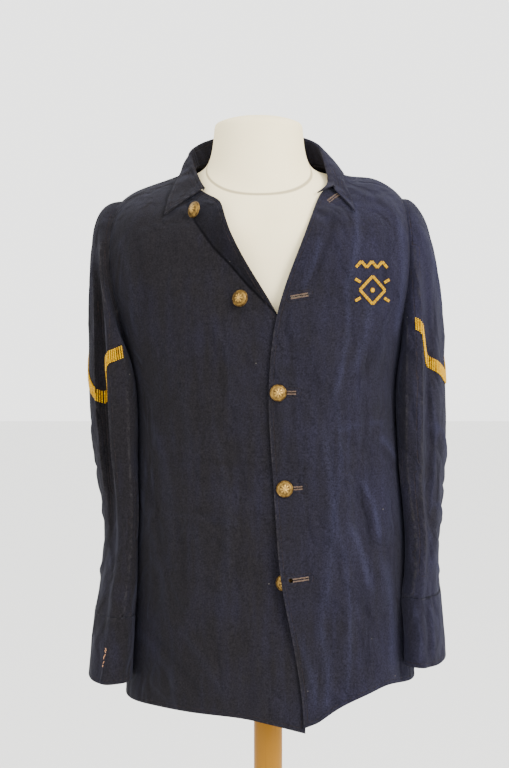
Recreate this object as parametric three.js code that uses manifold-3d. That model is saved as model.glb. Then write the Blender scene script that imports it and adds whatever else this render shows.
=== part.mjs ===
// A beaded scout jacket: a navy wool coat with five buttons, on a limbless dress form with a wooden stand.
// Sizes are millimetres, with +Z up. The coat faces -Y, and the wearer's left side lies towards +X.
// The origin is on the stand's axis, at the underside of its base.
import * as THREE from "three";
import { mergeVertices } from "three/addons/utils/BufferGeometryUtils.js";
import Module from "manifold-3d";

const wasm = await Module();
wasm.setup();

// Driving dimensions
const CLOTH = 2; // thickness of the wool
const SEAM_GAP = 0.3; // space left between two pieces that are sewn together
const CHEST_LINE = 1250; // height where the body's level sections end and the shoulders begin
const SHOULDER_SPAN = 200; // levels counted from the chest line up to the neckline
const UNDERARM_LEVEL = 1132;
const TIP_LEVEL = 1340; // level of the shoulder's tip, where the armhole is highest
const SIDE_SEAM_TURN = 96; // degrees from the front to the side seam at the hem
const ARMHOLE_TURN = 20; // degrees that an armhole reaches to the front and the back of the side
const LOWER_ROWS = 14; // rows of a body panel from the hem to the underarm
const ARMHOLE_ROWS = 12; // rows of a body panel along an armhole
const TOP_ROW = LOWER_ROWS + ARMHOLE_ROWS;
const BUTTON_RADIUS = 11.3;
const CUFF_BUTTON_RADIUS = 7.5;
const POST_RADIUS = 20;
const BASE_RADIUS = 185;
const BASE_HEIGHT = 30;
const FORM_FOOT = 748; // height of the form's flat underside
const NECK_TOP = 1466;

const point = (x, y, z) => new THREE.Vector3(x, y, z);
const { clamp, lerp, degToRad } = THREE.MathUtils;

// Eases from 0 to 1.
function smooth(value) {
  const f = clamp(value, 0, 1);
  return f * f * (3 - 2 * f);
}

// A rounded hump, 1 in its middle and 0 from one half width away.
function hump(offset) {
  return Math.abs(offset) < 1 ? 0.5 + 0.5 * Math.cos(Math.PI * offset) : 0;
}

// Reads a table whose rows rise in one column, and returns smooth values between its rows.
function smoothTable(rows, by) {
  const columns = Object.keys(rows[0]).filter((key) => key !== by);
  return (at) => {
    let i = 0;
    while (i < rows.length - 2 && at > rows[i + 1][by]) i++;
    const [a, b] = [rows[i], rows[i + 1]];
    const before = rows[Math.max(i - 1, 0)];
    const after = rows[Math.min(i + 2, rows.length - 1)];
    const span = b[by] - a[by];
    const f = clamp((at - a[by]) / span, 0, 1);
    const values = {};
    for (const key of columns) {
      const startSlope = ((b[key] - before[key]) / (b[by] - before[by])) * span;
      const endSlope = ((after[key] - a[key]) / (after[by] - a[by])) * span;
      values[key] =
        a[key] * (1 + 2 * f) * (1 - f) ** 2 +
        b[key] * (3 - 2 * f) * f ** 2 +
        startSlope * f * (1 - f) ** 2 -
        endSlope * f ** 2 * (1 - f);
    }
    return values;
  };
}

// Finds where a rising function is zero.
function bisect(rising, low, high) {
  for (let step = 0; step < 40; step++) {
    const middle = (low + high) / 2;
    if (rising(middle) < 0) low = middle;
    else high = middle;
  }
  return (low + high) / 2;
}

// The coat's body: level sections, each a rounded rectangle about its middle.
const bodySection = smoothTable(
  [
    { z: 640, middle: 3, half: 204, front: 148, back: 126, square: 2.5 },
    { z: 760, middle: 3, half: 197, front: 147, back: 123, square: 2.5 },
    { z: 860, middle: 3, half: 192, front: 145, back: 119, square: 2.5 },
    { z: 1000, middle: 0, half: 183, front: 142, back: 113, square: 2.5 },
    { z: 1100, middle: -4, half: 181, front: 140, back: 112, square: 2.5 },
    { z: 1180, middle: -8, half: 195, front: 137, back: 113, square: 2.6 },
    { z: CHEST_LINE, middle: -12, half: 215, front: 129, back: 113, square: 2.8 },
  ],
  "z",
);

// The neckline seam, about the neck's middle, by degrees from the front.
const NECK = { middle: -12, right: 90, left: 100, front: 99, back: 70, square: 2.4 };
const necklineHeight = smoothTable(
  [
    { turn: 0, z: 1344 },
    { turn: 31, z: 1356 },
    { turn: 47, z: 1364 },
    { turn: 90, z: 1402 },
    { turn: 135, z: 1420 },
    { turn: 180, z: 1427 },
  ],
  "turn",
);

// How the cloth runs from the chest line to the neckline: straight up for rise, and at the neckline
// down at lean degrees for reach.
const shoulderRun = smoothTable(
  [
    { turn: 0, rise: 55, lean: 56, reach: 45 },
    { turn: 45, rise: 80, lean: 40, reach: 55 },
    { turn: 90, rise: 143, lean: 24, reach: 84 },
    { turn: 135, rise: 110, lean: 30, reach: 60 },
    { turn: 180, rise: 90, lean: 42, reach: 50 },
  ],
  "turn",
);

function sectionRadius({ half, front, back, square }, turn) {
  const depth = Math.cos(turn) > 0 ? front : back;
  const along = Math.abs(Math.cos(turn) / depth) ** square;
  const across = Math.abs(Math.sin(turn) / half) ** square;
  return (along + across) ** (-1 / square);
}

// A point of the plain body, where turn is 0 at the front, 90 at the wearer's left and 180 behind.
function plainBody(turnDegrees, level) {
  const turn = degToRad(turnDegrees);
  const section = bodySection(Math.min(level, CHEST_LINE));
  const radius = sectionRadius(section, turn);
  const chest = point(
    section.middle + radius * Math.sin(turn),
    -radius * Math.cos(turn),
    Math.min(level, CHEST_LINE),
  );
  if (level <= CHEST_LINE) return chest;
  const neckRadius = sectionRadius({ ...NECK, half: turn < 0 ? NECK.right : NECK.left }, turn);
  const size = Math.abs(turnDegrees);
  const run = shoulderRun(size);
  const neck = point(
    NECK.middle + neckRadius * Math.sin(turn),
    -neckRadius * Math.cos(turn),
    necklineHeight(size).z,
  );
  const out = Math.cos(degToRad(run.lean)) * run.reach;
  const down = Math.sin(degToRad(run.lean)) * run.reach;
  const outer = point(Math.sin(turn) * out, -Math.cos(turn) * out, -down).add(neck);
  const riser = chest.clone().setZ(CHEST_LINE + run.rise);
  return new THREE.CubicBezierCurve3(chest, riser, outer, neck).getPoint(
    (level - CHEST_LINE) / SHOULDER_SPAN,
  );
}

// The cloth's largest soft folds on the body, from top to foot; a trough has a negative height.
const bodyFolds = [
  { top: 1345, foot: 1010, turnTop: 47, turnFoot: 33, width: 15, height: 3.5 },
  { top: 1080, foot: 640, turnTop: 33, turnFoot: 38, width: 15, height: 4.5 },
  { top: 1060, foot: 640, turnTop: 50, turnFoot: 55, width: 22, height: -4 },
  { top: 960, foot: 810, turnTop: 66, turnFoot: 46, width: 14, height: 4 },
  { top: 800, foot: 600, turnTop: 27, turnFoot: 29, width: 18, height: -5 },
  { top: 780, foot: 580, turnTop: 48, turnFoot: 46, width: 16, height: 6 },
  { top: 1180, foot: 900, turnTop: -24, turnFoot: -17, width: 18, height: -3 },
  { top: 1010, foot: 640, turnTop: -14, turnFoot: -18, width: 14, height: 3.5 },
  { top: 1060, foot: 600, turnTop: -34, turnFoot: -38, width: 24, height: 4 },
  { top: 900, foot: 600, turnTop: -50, turnFoot: -54, width: 18, height: -4.5 },
  { top: 1330, foot: 1120, turnTop: -38, turnFoot: -50, width: 18, height: -3 },
  { top: 1280, foot: 760, turnTop: 158, turnFoot: 150, width: 24, height: 5 },
  { top: 1300, foot: 820, turnTop: 176, turnFoot: 172, width: 20, height: -4 },
  { top: 1260, foot: 700, turnTop: -152, turnFoot: -146, width: 22, height: 5 },
  { top: 960, foot: 600, turnTop: 128, turnFoot: 124, width: 20, height: -5 },
  { top: 940, foot: 600, turnTop: -126, turnFoot: -130, width: 22, height: -5 },
  { top: 1429, foot: 1290, turnTop: 97, turnFoot: 128, width: 48, height: 11 },
];

function foldHeight(turn, level) {
  let height = 0;
  for (const fold of bodyFolds) {
    const along = (fold.top - level) / (fold.top - fold.foot);
    if (along <= 0 || along >= 1) continue;
    const centre = lerp(fold.turnTop, fold.turnFoot, along);
    const fade = smooth(along / 0.3) * smooth((1 - along) / 0.3);
    height += fold.height * fade * hump((turn - centre) / fold.width);
  }
  return height;
}

// A point of the body's cloth, lifted off its plain form by its folds and by a height of its own.
function bodyPoint(turn, level, lift = 0) {
  const step = 0.5;
  const place = plainBody(turn, level);
  const top = CHEST_LINE + SHOULDER_SPAN;
  const along = plainBody(turn + step, level).sub(plainBody(turn - step, level));
  const up = plainBody(turn, Math.min(level + step, top)).sub(plainBody(turn, level - step));
  const normal = along.cross(up).normalize();
  return place.addScaledVector(normal, foldHeight(turn, level) + lift);
}

// The turn and level of the point on the plain front that has this x and z.
function onFront(x, z) {
  let turn = 0;
  let level = z;
  for (let pass = 0; pass < 12; pass++) {
    level = bisect((value) => plainBody(turn, value).z - z, 600, CHEST_LINE + SHOULDER_SPAN);
    turn = bisect((value) => plainBody(value, level).x - x, -89, 89);
  }
  return { turn, level };
}

// A point of an armhole; round is -90 at the underarm, 0 at the front, 90 at the shoulder's tip
// and 180 behind.
function armhole(side, round) {
  const angle = degToRad(round);
  const middle = (TIP_LEVEL + UNDERARM_LEVEL) / 2;
  const half = (TIP_LEVEL - UNDERARM_LEVEL) / 2;
  return {
    turn: side * (90 - ARMHOLE_TURN * Math.cos(angle)),
    level: middle + half * Math.sin(angle),
  };
}

// Closed surfaces

function geometryOf(vertices, faces) {
  const geometry = new THREE.BufferGeometry();
  const positions = new Float32Array(vertices.flatMap((vertex) => [vertex.x, vertex.y, vertex.z]));
  geometry.setAttribute("position", new THREE.BufferAttribute(positions, 3));
  geometry.setIndex(faces.flat());
  return geometry;
}

// Turns every face round if the closed surface points inwards.
function facingOut(vertices, faces) {
  let volume = 0;
  for (const [a, b, c] of faces) {
    volume += vertices[a].dot(vertices[b].clone().cross(vertices[c]));
  }
  return geometryOf(vertices, volume > 0 ? faces : faces.map(([a, b, c]) => [a, c, b]));
}

// The way out of a grid of points at each of them; side is 1 or -1 and picks the face.
function gridNormals(grid, side, around) {
  const rows = grid.length;
  const columns = grid[0].length;
  return grid.map((line, i) =>
    line.map((place, j) => {
      const next = around ? (j + 1) % columns : Math.min(j + 1, columns - 1);
      const last = around ? (j + columns - 1) % columns : Math.max(j - 1, 0);
      const across = line[next].clone().sub(line[last]);
      const up = grid[Math.min(i + 1, rows - 1)][j].clone().sub(grid[Math.max(i - 1, 0)][j]);
      return across.cross(up).normalize().multiplyScalar(side);
    }),
  );
}

// A closed wall of cloth under a grid of its outer points, which is [row][column].
function wall(grid, { side = 1, around = false, thickness = CLOTH, ways = null } = {}) {
  const rows = grid.length;
  const columns = grid[0].length;
  const normals = ways ?? gridNormals(grid, side, around);
  const outer = grid.flat();
  const inner = grid.flatMap((line, i) =>
    line.map((place, j) => place.clone().addScaledVector(normals[i][j], -thickness)),
  );
  const faces = [];
  const quad = (a, b, c, d) => faces.push([a, b, c], [a, c, d]);
  const at = (i, j) => i * columns + (j % columns);
  const under = outer.length;
  const last = around ? columns : columns - 1;
  for (let i = 0; i < rows - 1; i++) {
    for (let j = 0; j < last; j++) {
      quad(at(i, j), at(i, j + 1), at(i + 1, j + 1), at(i + 1, j));
      quad(under + at(i, j), under + at(i + 1, j), under + at(i + 1, j + 1), under + at(i, j + 1));
    }
  }
  for (let j = 0; j < last; j++) {
    quad(at(0, j + 1), at(0, j), under + at(0, j), under + at(0, j + 1));
    quad(at(rows - 1, j), at(rows - 1, j + 1), under + at(rows - 1, j + 1), under + at(rows - 1, j));
  }
  for (let i = 0; i < rows - 1 && !around; i++) {
    quad(at(i, 0), at(i + 1, 0), under + at(i + 1, 0), under + at(i, 0));
    quad(at(i + 1, last), at(i, last), under + at(i, last), under + at(i + 1, last));
  }
  return facingOut([...outer, ...inner], faces);
}

// A closed body through rings of points, with a flat or domed end at its first and last ring.
function loft(rings) {
  const count = rings[0].length;
  const vertices = rings.flat();
  const faces = [];
  for (let i = 0; i < rings.length - 1; i++) {
    for (let j = 0; j < count; j++) {
      const next = (j + 1) % count;
      const [a, b] = [i * count + j, i * count + next];
      faces.push([a, b, b + count], [a, b + count, a + count]);
    }
  }
  for (const [ring, flip] of [
    [0, true],
    [rings.length - 1, false],
  ]) {
    const centre = vertices.length;
    const sum = rings[ring].reduce((total, place) => total.add(place), point(0, 0, 0));
    vertices.push(sum.divideScalar(count));
    for (let j = 0; j < count; j++) {
      const [a, b] = [ring * count + j, ring * count + ((j + 1) % count)];
      faces.push(flip ? [b, a, centre] : [a, b, centre]);
    }
  }
  return facingOut(vertices, faces);
}

// A turned body from a profile of [radius, height] pairs that starts and ends on the axis.
function turned(profile, segments) {
  const points = profile.map(([radius, height]) => new THREE.Vector2(radius, height));
  const geometry = new THREE.LatheGeometry(points, segments);
  return geometry.rotateX(Math.PI / 2);
}

function solidOf(geometry) {
  const bare = geometry.clone();
  bare.deleteAttribute("normal");
  bare.deleteAttribute("uv");
  const merged = mergeVertices(bare, 1e-4);
  return new wasm.Manifold(
    new wasm.Mesh({
      numProp: 3,
      vertProperties: merged.attributes.position.array,
      triVerts: new Uint32Array(merged.index.array),
    }),
  );
}

function geometryFrom(solid) {
  const mesh = solid.getMesh();
  const geometry = new THREE.BufferGeometry();
  geometry.setAttribute("position", new THREE.BufferAttribute(new Float32Array(mesh.vertProperties), 3));
  geometry.setIndex(new THREE.BufferAttribute(new Uint32Array(mesh.triVerts), 1));
  return geometry;
}

// Materials
const finish = (color, roughness, metalness = 0) =>
  new THREE.MeshStandardMaterial({ color, roughness, metalness });
const navyWool = finish(0x24263c, 0.95);
const brass = finish(0xc29a48, 0.35, 1);
const yellowBeads = finish(0xe8a81c, 0.4);
const creamCover = finish(0xe8e0c6, 0.9);
const honeyWood = finish(0xc89850, 0.5);

const jacket = new THREE.Group();

function add(name, geometry, material) {
  const mesh = new THREE.Mesh(geometry, material);
  mesh.name = name;
  jacket.add(mesh);
  return mesh;
}

// The fronts

// The free edge and the crease beside it, from the hem to the neckline at the shoulder seam.
const rightFrontEdge = smoothTable(
  [
    { row: 0, edgeX: 47, edgeZ: 664, creaseX: 26, creaseZ: 670 },
    { row: 3, edgeX: 49, edgeZ: 762, creaseX: 28, creaseZ: 764 },
    { row: 6, edgeX: 50, edgeZ: 876, creaseX: 30, creaseZ: 878 },
    { row: 9, edgeX: 52, edgeZ: 994, creaseX: 31, creaseZ: 995 },
    { row: 12, edgeX: 42, edgeZ: 1112, creaseX: 18, creaseZ: 1108 },
    { row: 14, edgeX: 22, edgeZ: 1180, creaseX: 2, creaseZ: 1174 },
    { row: 15, edgeX: 8, edgeZ: 1209, creaseX: -16, creaseZ: 1218 },
    { row: 16, edgeX: -9, edgeZ: 1237, creaseX: -36, creaseZ: 1249 },
    { row: 17, edgeX: -27, edgeZ: 1265, creaseX: -54, creaseZ: 1272 },
    { row: 18, edgeX: -42, edgeZ: 1292, creaseX: -72, creaseZ: 1293 },
    { row: 19, edgeX: -53, edgeZ: 1316, creaseX: -86, creaseZ: 1312 },
    { row: 20, edgeX: -59, edgeZ: 1338, creaseX: -96, creaseZ: 1325 },
    { row: 21, edgeX: -63, edgeZ: 1353, creaseX: -105, creaseZ: 1341 },
  ],
  "row",
);
const leftFrontEdge = smoothTable(
  [
    { row: 0, edgeX: 44.5, edgeZ: 672, creaseX: 65, creaseZ: 678 },
    { row: 1, edgeX: 43.5, edgeZ: 700, creaseX: 63, creaseZ: 706 },
    { row: 3, edgeX: 34, edgeZ: 764, creaseX: 54, creaseZ: 768 },
    { row: 5, edgeX: 19, edgeZ: 836, creaseX: 40, creaseZ: 838 },
    { row: 6, edgeX: 13, edgeZ: 872, creaseX: 34, creaseZ: 873 },
    { row: 9, edgeX: 5, edgeZ: 988, creaseX: 26, creaseZ: 988 },
    { row: 12, edgeX: -1.5, edgeZ: 1100, creaseX: 20, creaseZ: 1100 },
    { row: 14, edgeX: 4, edgeZ: 1174, creaseX: 26, creaseZ: 1174 },
    { row: 15, edgeX: 10, edgeZ: 1207, creaseX: 32, creaseZ: 1208 },
    { row: 16, edgeX: 20, edgeZ: 1241, creaseX: 42, creaseZ: 1245 },
    { row: 17, edgeX: 31, edgeZ: 1270, creaseX: 52, creaseZ: 1272 },
    { row: 18, edgeX: 42, edgeZ: 1298, creaseX: 62, creaseZ: 1294 },
    { row: 19, edgeX: 51, edgeZ: 1322, creaseX: 70, creaseZ: 1314 },
    { row: 20, edgeX: 59, edgeZ: 1344, creaseX: 77, creaseZ: 1333 },
    { row: 21, edgeX: 66, edgeZ: 1361, creaseX: 86, creaseZ: 1350 },
  ],
  "row",
);
const OPEN_EDGE_ROW = 21; // the last row that starts on the free edge
const CREASE_TURN = 60; // where the crease meets the neckline, in degrees from the front
const HEM_LEVEL = { right: 688, left: 712 }; // at the side seams
// How far each front's hem climbs from its crease, by the share of the way to the side seam.
const hemClimb = {
  right: smoothTable(
    [
      { share: 0, climb: 0 },
      { share: 0.2, climb: 15 },
      { share: 0.4, climb: 20 },
      { share: 0.6, climb: 21 },
      { share: 0.85, climb: 17 },
      { share: 1, climb: 18 },
    ],
    "share",
  ),
  left: smoothTable(
    [
      { share: 0, climb: 0 },
      { share: 0.15, climb: 22 },
      { share: 0.27, climb: 33 },
      { share: 0.4, climb: 42 },
      { share: 0.67, climb: 35 },
      { share: 1, climb: 34 },
    ],
    "share",
  ),
};
const HEM_SHAPE_ROWS = 7; // rows over which a hem's own line fades out
const FRONT_COLUMNS = 13;
const CREASE_COLUMN = 3; // columns from the free edge to the crease

// Where a front's row starts, creases and ends, each as a turn and a level.
function frontRow(side, edge, row) {
  const neckLevel = CHEST_LINE + SHOULDER_SPAN;
  const end = panelEnd(side, row);
  if (row <= OPEN_EDGE_ROW) {
    const at = edge(row);
    return { start: onFront(at.edgeX, at.edgeZ), crease: onFront(at.creaseX, at.creaseZ), end };
  }
  const along = (row - OPEN_EDGE_ROW) / (TOP_ROW - OPEN_EDGE_ROW);
  const corner = frontRow(side, edge, OPEN_EDGE_ROW);
  const creaseEase = smooth(along * 2.5);
  return {
    start: { turn: lerp(corner.start.turn, side * 90, along), level: neckLevel },
    crease: {
      turn: lerp(corner.crease.turn, side * lerp(CREASE_TURN, 90, along), creaseEase),
      level: lerp(corner.crease.level, neckLevel - 10 * (1 - along), creaseEase),
    },
    end,
  };
}

// Where a body panel's row ends: on its side seam, and then on the armhole.
function panelEnd(side, row, behind = false) {
  if (row > LOWER_ROWS) {
    const round = -90 + (180 * (row - LOWER_ROWS)) / ARMHOLE_ROWS;
    return armhole(side, behind ? 180 - round : round);
  }
  const along = row / LOWER_ROWS;
  const hem = side < 0 ? HEM_LEVEL.right : HEM_LEVEL.left;
  return {
    turn: side * lerp(SIDE_SEAM_TURN, 90, along ** 0.7),
    level: lerp(hem, UNDERARM_LEVEL, along),
  };
}

// Draws a panel's border in by half a seam, so that it stays clear of the next piece.
function drawnIn(grid, { columnEnd = false, rowEnd = false, columnStart = false }) {
  const pull = (from, to) => from.addScaledVector(to.clone().sub(from).normalize(), SEAM_GAP);
  const last = grid[0].length - 1;
  const top = grid.length - 1;
  if (columnEnd) for (let i = 0; i <= LOWER_ROWS; i++) pull(grid[i][last], grid[i][last - 1]);
  if (columnStart) for (const line of grid) pull(line[0], line[1]);
  if (rowEnd) grid[top].forEach((place, j) => pull(place, grid[top - 1][j]));
  return grid;
}

function frontGrid(side, edge, liftAt) {
  const grid = [];
  const climbAt = side < 0 ? hemClimb.right : hemClimb.left;
  for (let row = 0; row <= TOP_ROW; row++) {
    const { start, crease, end } = frontRow(side, edge, row);
    const line = [];
    for (let column = 0; column <= FRONT_COLUMNS; column++) {
      const inStrip = column < CREASE_COLUMN;
      const along = inStrip
        ? column / CREASE_COLUMN
        : (column - CREASE_COLUMN) / (FRONT_COLUMNS - CREASE_COLUMN);
      const [from, to] = inStrip ? [start, crease] : [crease, end];
      const turn = lerp(from.turn, to.turn, along);
      const hemShape = climbAt(inStrip ? 0 : along).climb - (inStrip ? 0 : along * climbAt(1).climb);
      const hemFade = Math.max(1 - row / HEM_SHAPE_ROWS, 0);
      const level = lerp(from.level, to.level, along) + hemShape * hemFade;
      const strip = inStrip ? 1 - along : 0;
      const { lift, forward } = liftAt(plainBody(turn, level), strip, row);
      const place = bodyPoint(turn, level, lift);
      place.y -= forward;
      line.push(place);
    }
    grid.push(line);
  }
  return drawnIn(grid, { columnEnd: true, rowEnd: true });
}

const LAP_DEPTH = CLOTH + 2.2; // how far the right front lies behind the left where they lap
const LOOSE_BUTTON = { x: 19, z: 859 }; // the unfastened button, behind the left front's edge
const LOOSE_BULGE = 5.2;
const STRIP_RISE = 11; // how far the right front's turned strip stands off its chest

const nearLooseButton = (place) =>
  hump((place.x - LOOSE_BUTTON.x) / 62) * hump((place.z - LOOSE_BUTTON.z) / 95);

function rightFrontLift(place, strip, row) {
  const lapped = smooth((place.x - leftEdgeX(place.z) + 40) / 26) * smooth((1275 - place.z) / 50);
  const open = smooth((place.z - 1205) / 110) * smooth((22.4 - row) / 1.6);
  return {
    lift: -lapped * LAP_DEPTH - nearLooseButton(place) * LOOSE_BULGE,
    forward: open * (STRIP_RISE * smooth(strip * 1.5) - 3 * hump(strip * 2.5) * smooth((21.5 - row) / 2)),
  };
}

function leftFrontLift(place, strip, row) {
  return {
    lift: nearLooseButton(place) * LOOSE_BULGE,
    forward: -3.4 * strip * smooth((place.z - 1225) / 60) * smooth((TOP_ROW - 1 - row) / 3),
  };
}

// The left front's edge at a height below the open neck.
function leftEdgeX(z) {
  const row = bisect((value) => leftFrontEdge(value).edgeZ - z, 0, OPEN_EDGE_ROW);
  return leftFrontEdge(row).edgeX;
}

const rightFrontGrid = frontGrid(-1, rightFrontEdge, rightFrontLift);
const leftFrontGrid = frontGrid(1, leftFrontEdge, leftFrontLift);

// A point of the cloth at an x and z, found on a front's grid, with the way out of it.
function onGrid(grid, x, z) {
  const normals = gridNormals(grid, 1, false);
  let best = null;
  for (let i = 0; i < grid.length - 1; i++) {
    for (let j = 0; j < grid[0].length - 1; j++) {
      const [a, b, c, d] = [grid[i][j], grid[i][j + 1], grid[i + 1][j + 1], grid[i + 1][j]];
      for (const [p, q, r] of [
        [a, b, c],
        [a, c, d],
      ]) {
        const area = (q.x - p.x) * (r.z - p.z) - (r.x - p.x) * (q.z - p.z);
        const u = ((x - p.x) * (r.z - p.z) - (r.x - p.x) * (z - p.z)) / area;
        const v = ((q.x - p.x) * (z - p.z) - (x - p.x) * (q.z - p.z)) / area;
        if (u < 0 || v < 0 || u + v > 1) continue;
        const place = p.clone().addScaledVector(q.clone().sub(p), u);
        place.addScaledVector(r.clone().sub(p), v);
        if (!best || place.y < best.place.y) best = { place, out: normals[i][j].clone() };
      }
    }
  }
  if (best && best.out.y > 0) best.out.negate();
  return best;
}

// Buttons, sewn to the right front. They face the way its cloth does, or where they
// hang turned on their shanks, the way that is stated.
const frontButtons = [
  { name: "button_1", x: -91.7, z: 1337.6, fastened: false, faces: [-0.74, -0.64, 0.2] },
  { name: "button_2", x: -32.5, z: 1222.3, fastened: false, faces: [-0.48, -0.86, 0.15] },
  { name: "button_3", x: 11.2, z: 1103.5, fastened: true, faces: null },
  { name: "button_4", x: 19.4, z: 980.8, fastened: true, faces: null },
  { name: "button_5", x: 19, z: 859.4, fastened: false, faces: null },
];
const SHANK_RADIUS = 2.2;
const FREE_SHANK = 2.6; // shank that shows between the cloth and a button's back
const BUTTON_GAP = 0.35;

// A domed button on a shank; its back is at height 0 and its shank reaches down from there.
function buttonProfile(radius, shank) {
  const rim = radius * 0.09;
  const dome = radius * 0.36;
  return [
    [0, -shank],
    [SHANK_RADIUS, -shank],
    [SHANK_RADIUS, 0],
    [radius * 0.93, 0],
    [radius, rim],
    [radius * 0.93, rim * 2],
    [radius * 0.72, dome * 0.78],
    [radius * 0.4, dome * 1.05],
    [0, dome * 1.15],
  ];
}

function facing(geometry, place, out) {
  const turn = new THREE.Quaternion().setFromUnitVectors(point(0, 0, 1), out);
  return geometry.applyQuaternion(turn).translate(place.x, place.y, place.z);
}

function buildButtons() {
  for (const { name, x, z, fastened, faces } of frontButtons) {
    const under = onGrid(rightFrontGrid, x, z);
    const top = fastened ? onGrid(leftFrontGrid, x, z) : under;
    const spare = fastened ? BUTTON_GAP + 0.4 : FREE_SHANK;
    const out = faces ? point(...faces).normalize() : top.out;
    const turn = out.angleTo(top.out);
    const tilt = BUTTON_RADIUS * Math.sin(turn) * 1.1;
    const back = top.place.clone().addScaledVector(out, spare + tilt);
    const slope = SHANK_RADIUS * Math.sin(turn);
    const shank = back.clone().sub(under.place).dot(out) - BUTTON_GAP * 1.6 - slope;
    const button = turned(buttonProfile(BUTTON_RADIUS, shank), 20);
    add(name, facing(button, back, out), brass);
  }
}

// Buttonholes in the left front: a narrow slit with a round eye at its free end.
const BUTTONHOLE = { length: 24, slit: 1, eye: 3.1, depth: 30 };
const buttonholes = [
  { x: 79, z: 1353, slant: 38, eyeOut: false },
  { x: 27, z: 1225, slant: 10, eyeOut: false },
  { x: 11.2, z: 1103.5, slant: 0, eyeOut: true },
  { x: 19.4, z: 980.8, slant: 3, eyeOut: true },
  { x: 27.5, z: 864, slant: 6, eyeOut: true },
];

function buttonholeCutter({ x, z, slant, eyeOut }) {
  const { length, slit, eye, depth } = BUTTONHOLE;
  const place = onGrid(leftFrontGrid, x, z);
  const outline = new THREE.Shape();
  outline.moveTo(0, -slit / 2);
  outline.lineTo(length, -slit / 2);
  outline.lineTo(length, slit / 2);
  outline.lineTo(0, slit / 2);
  outline.closePath();
  const settings = { depth, bevelEnabled: false };
  const bar = solidOf(new THREE.ExtrudeGeometry(outline, settings));
  const round = new THREE.Shape().absarc(0, 0, eye, 0, Math.PI * 2);
  const hole = solidOf(new THREE.ExtrudeGeometry(round, { ...settings, curveSegments: 5 }));
  const cutter = geometryFrom(eyeOut ? bar.add(hole) : bar);
  cutter.translate(0, 0, -depth / 2);
  cutter.rotateZ(degToRad(slant));
  const along = point(-place.out.y, place.out.x, 0).normalize();
  const frame = new THREE.Matrix4().makeBasis(along, place.out.clone().cross(along), place.out);
  cutter.applyMatrix4(frame).translate(place.place.x, place.place.y, place.place.z);
  return solidOf(cutter);
}

add("front_right", wall(rightFrontGrid, { side: -1 }), navyWool);
let leftFront = solidOf(wall(leftFrontGrid));
for (const hole of buttonholes) leftFront = leftFront.subtract(buttonholeCutter(hole));
add("front_left", geometryFrom(leftFront), navyWool);
buildButtons();

// The back, in two pieces that meet at the centre seam
const BACK_COLUMNS = 10;
const BACK_HEM = 698;
const backNeckRow = 20; // the row that reaches the neckline at the centre seam

function backGrid(side) {
  const grid = [];
  for (let row = 0; row <= TOP_ROW; row++) {
    const end = panelEnd(side, row, true);
    const climb = Math.min(row / backNeckRow, 1);
    const start = {
      turn: side * lerp(180, 90, Math.max(row - backNeckRow, 0) / (TOP_ROW - backNeckRow)),
      level: lerp(BACK_HEM, CHEST_LINE + SHOULDER_SPAN, climb),
    };
    const line = [];
    for (let column = 0; column <= BACK_COLUMNS; column++) {
      const along = column / BACK_COLUMNS;
      line.push(bodyPoint(lerp(start.turn, end.turn, along), lerp(start.level, end.level, along)));
    }
    grid.push(line);
  }
  return drawnIn(grid, { columnEnd: true, rowEnd: true, columnStart: true });
}
for (const [name, side] of [
  ["back_right", -1],
  ["back_left", 1],
]) {
  add(name, wall(backGrid(side), { side: -side }), navyWool);
}

// The sleeves
// Level sections of the sleeves below the underarm: out is how far the middle lies from the stand's
// axis, half and deep are half of its width and depth, and lean turns its front inwards. A dent is a
// fold along the sleeve, at dentRound degrees about it, counted as on the armhole.
const SLEEVE_HEAD_FOOT = 1085; // height where the sleeve's head ends and its level sections begin
const sleeves = {
  right: {
    side: -1,
    foot: 721,
    cuffTop: 807,
    head: { reach: 50, lift: 2, hang: 0.82, swell: 16 },
    section: smoothTable(
      [
        { z: 700, out: 219, y: -60, half: 25, deep: 60, lean: 8, dent: 0, dentRound: 30 },
        { z: 757, out: 215, y: -52, half: 25, deep: 63, lean: 8, dent: 3, dentRound: 30 },
        { z: 800, out: 212, y: -44, half: 24, deep: 66, lean: 8, dent: 5, dentRound: 30 },
        { z: 842, out: 207, y: -34, half: 23, deep: 68, lean: 8, dent: 6, dentRound: 31 },
        { z: 900, out: 203, y: -21, half: 22, deep: 71, lean: 9, dent: 10, dentRound: 32 },
        { z: 942, out: 204, y: -13, half: 24, deep: 74, lean: 10, dent: 18, dentRound: 34 },
        { z: 985, out: 208, y: -9, half: 28, deep: 77, lean: 10, dent: 26, dentRound: 35 },
        { z: 1031, out: 211, y: -8, half: 30, deep: 80, lean: 10, dent: 30, dentRound: 36 },
        { z: 1085, out: 213, y: -8, half: 34, deep: 83, lean: 10, dent: 32, dentRound: 36 },
      ],
      "z",
    ),
  },
  left: {
    side: 1,
    foot: 742,
    cuffTop: 831,
    head: { reach: 21, lift: 7, hang: 0.86, swell: 12 },
    section: smoothTable(
      [
        { z: 720, out: 217, y: -58, half: 22, deep: 60, lean: 16, dent: 2, dentRound: 24 },
        { z: 789, out: 214, y: -48, half: 22, deep: 63, lean: 14, dent: 5, dentRound: 24 },
        { z: 841, out: 211, y: -36, half: 22, deep: 67, lean: 11, dent: 5, dentRound: 24 },
        { z: 875, out: 212, y: -28, half: 20, deep: 70, lean: 7, dent: 6, dentRound: 22 },
        { z: 915, out: 211, y: -20, half: 25, deep: 72, lean: 6, dent: 9, dentRound: 22 },
        { z: 974, out: 211, y: -10, half: 31, deep: 77, lean: 10, dent: 12, dentRound: 23 },
        { z: 1030, out: 211, y: -8, half: 34, deep: 80, lean: 12, dent: 14, dentRound: 28 },
        { z: 1085, out: 211, y: -8, half: 33, deep: 83, lean: 12, dent: 14, dentRound: 28 },
      ],
      "z",
    ),
  },
};
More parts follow.
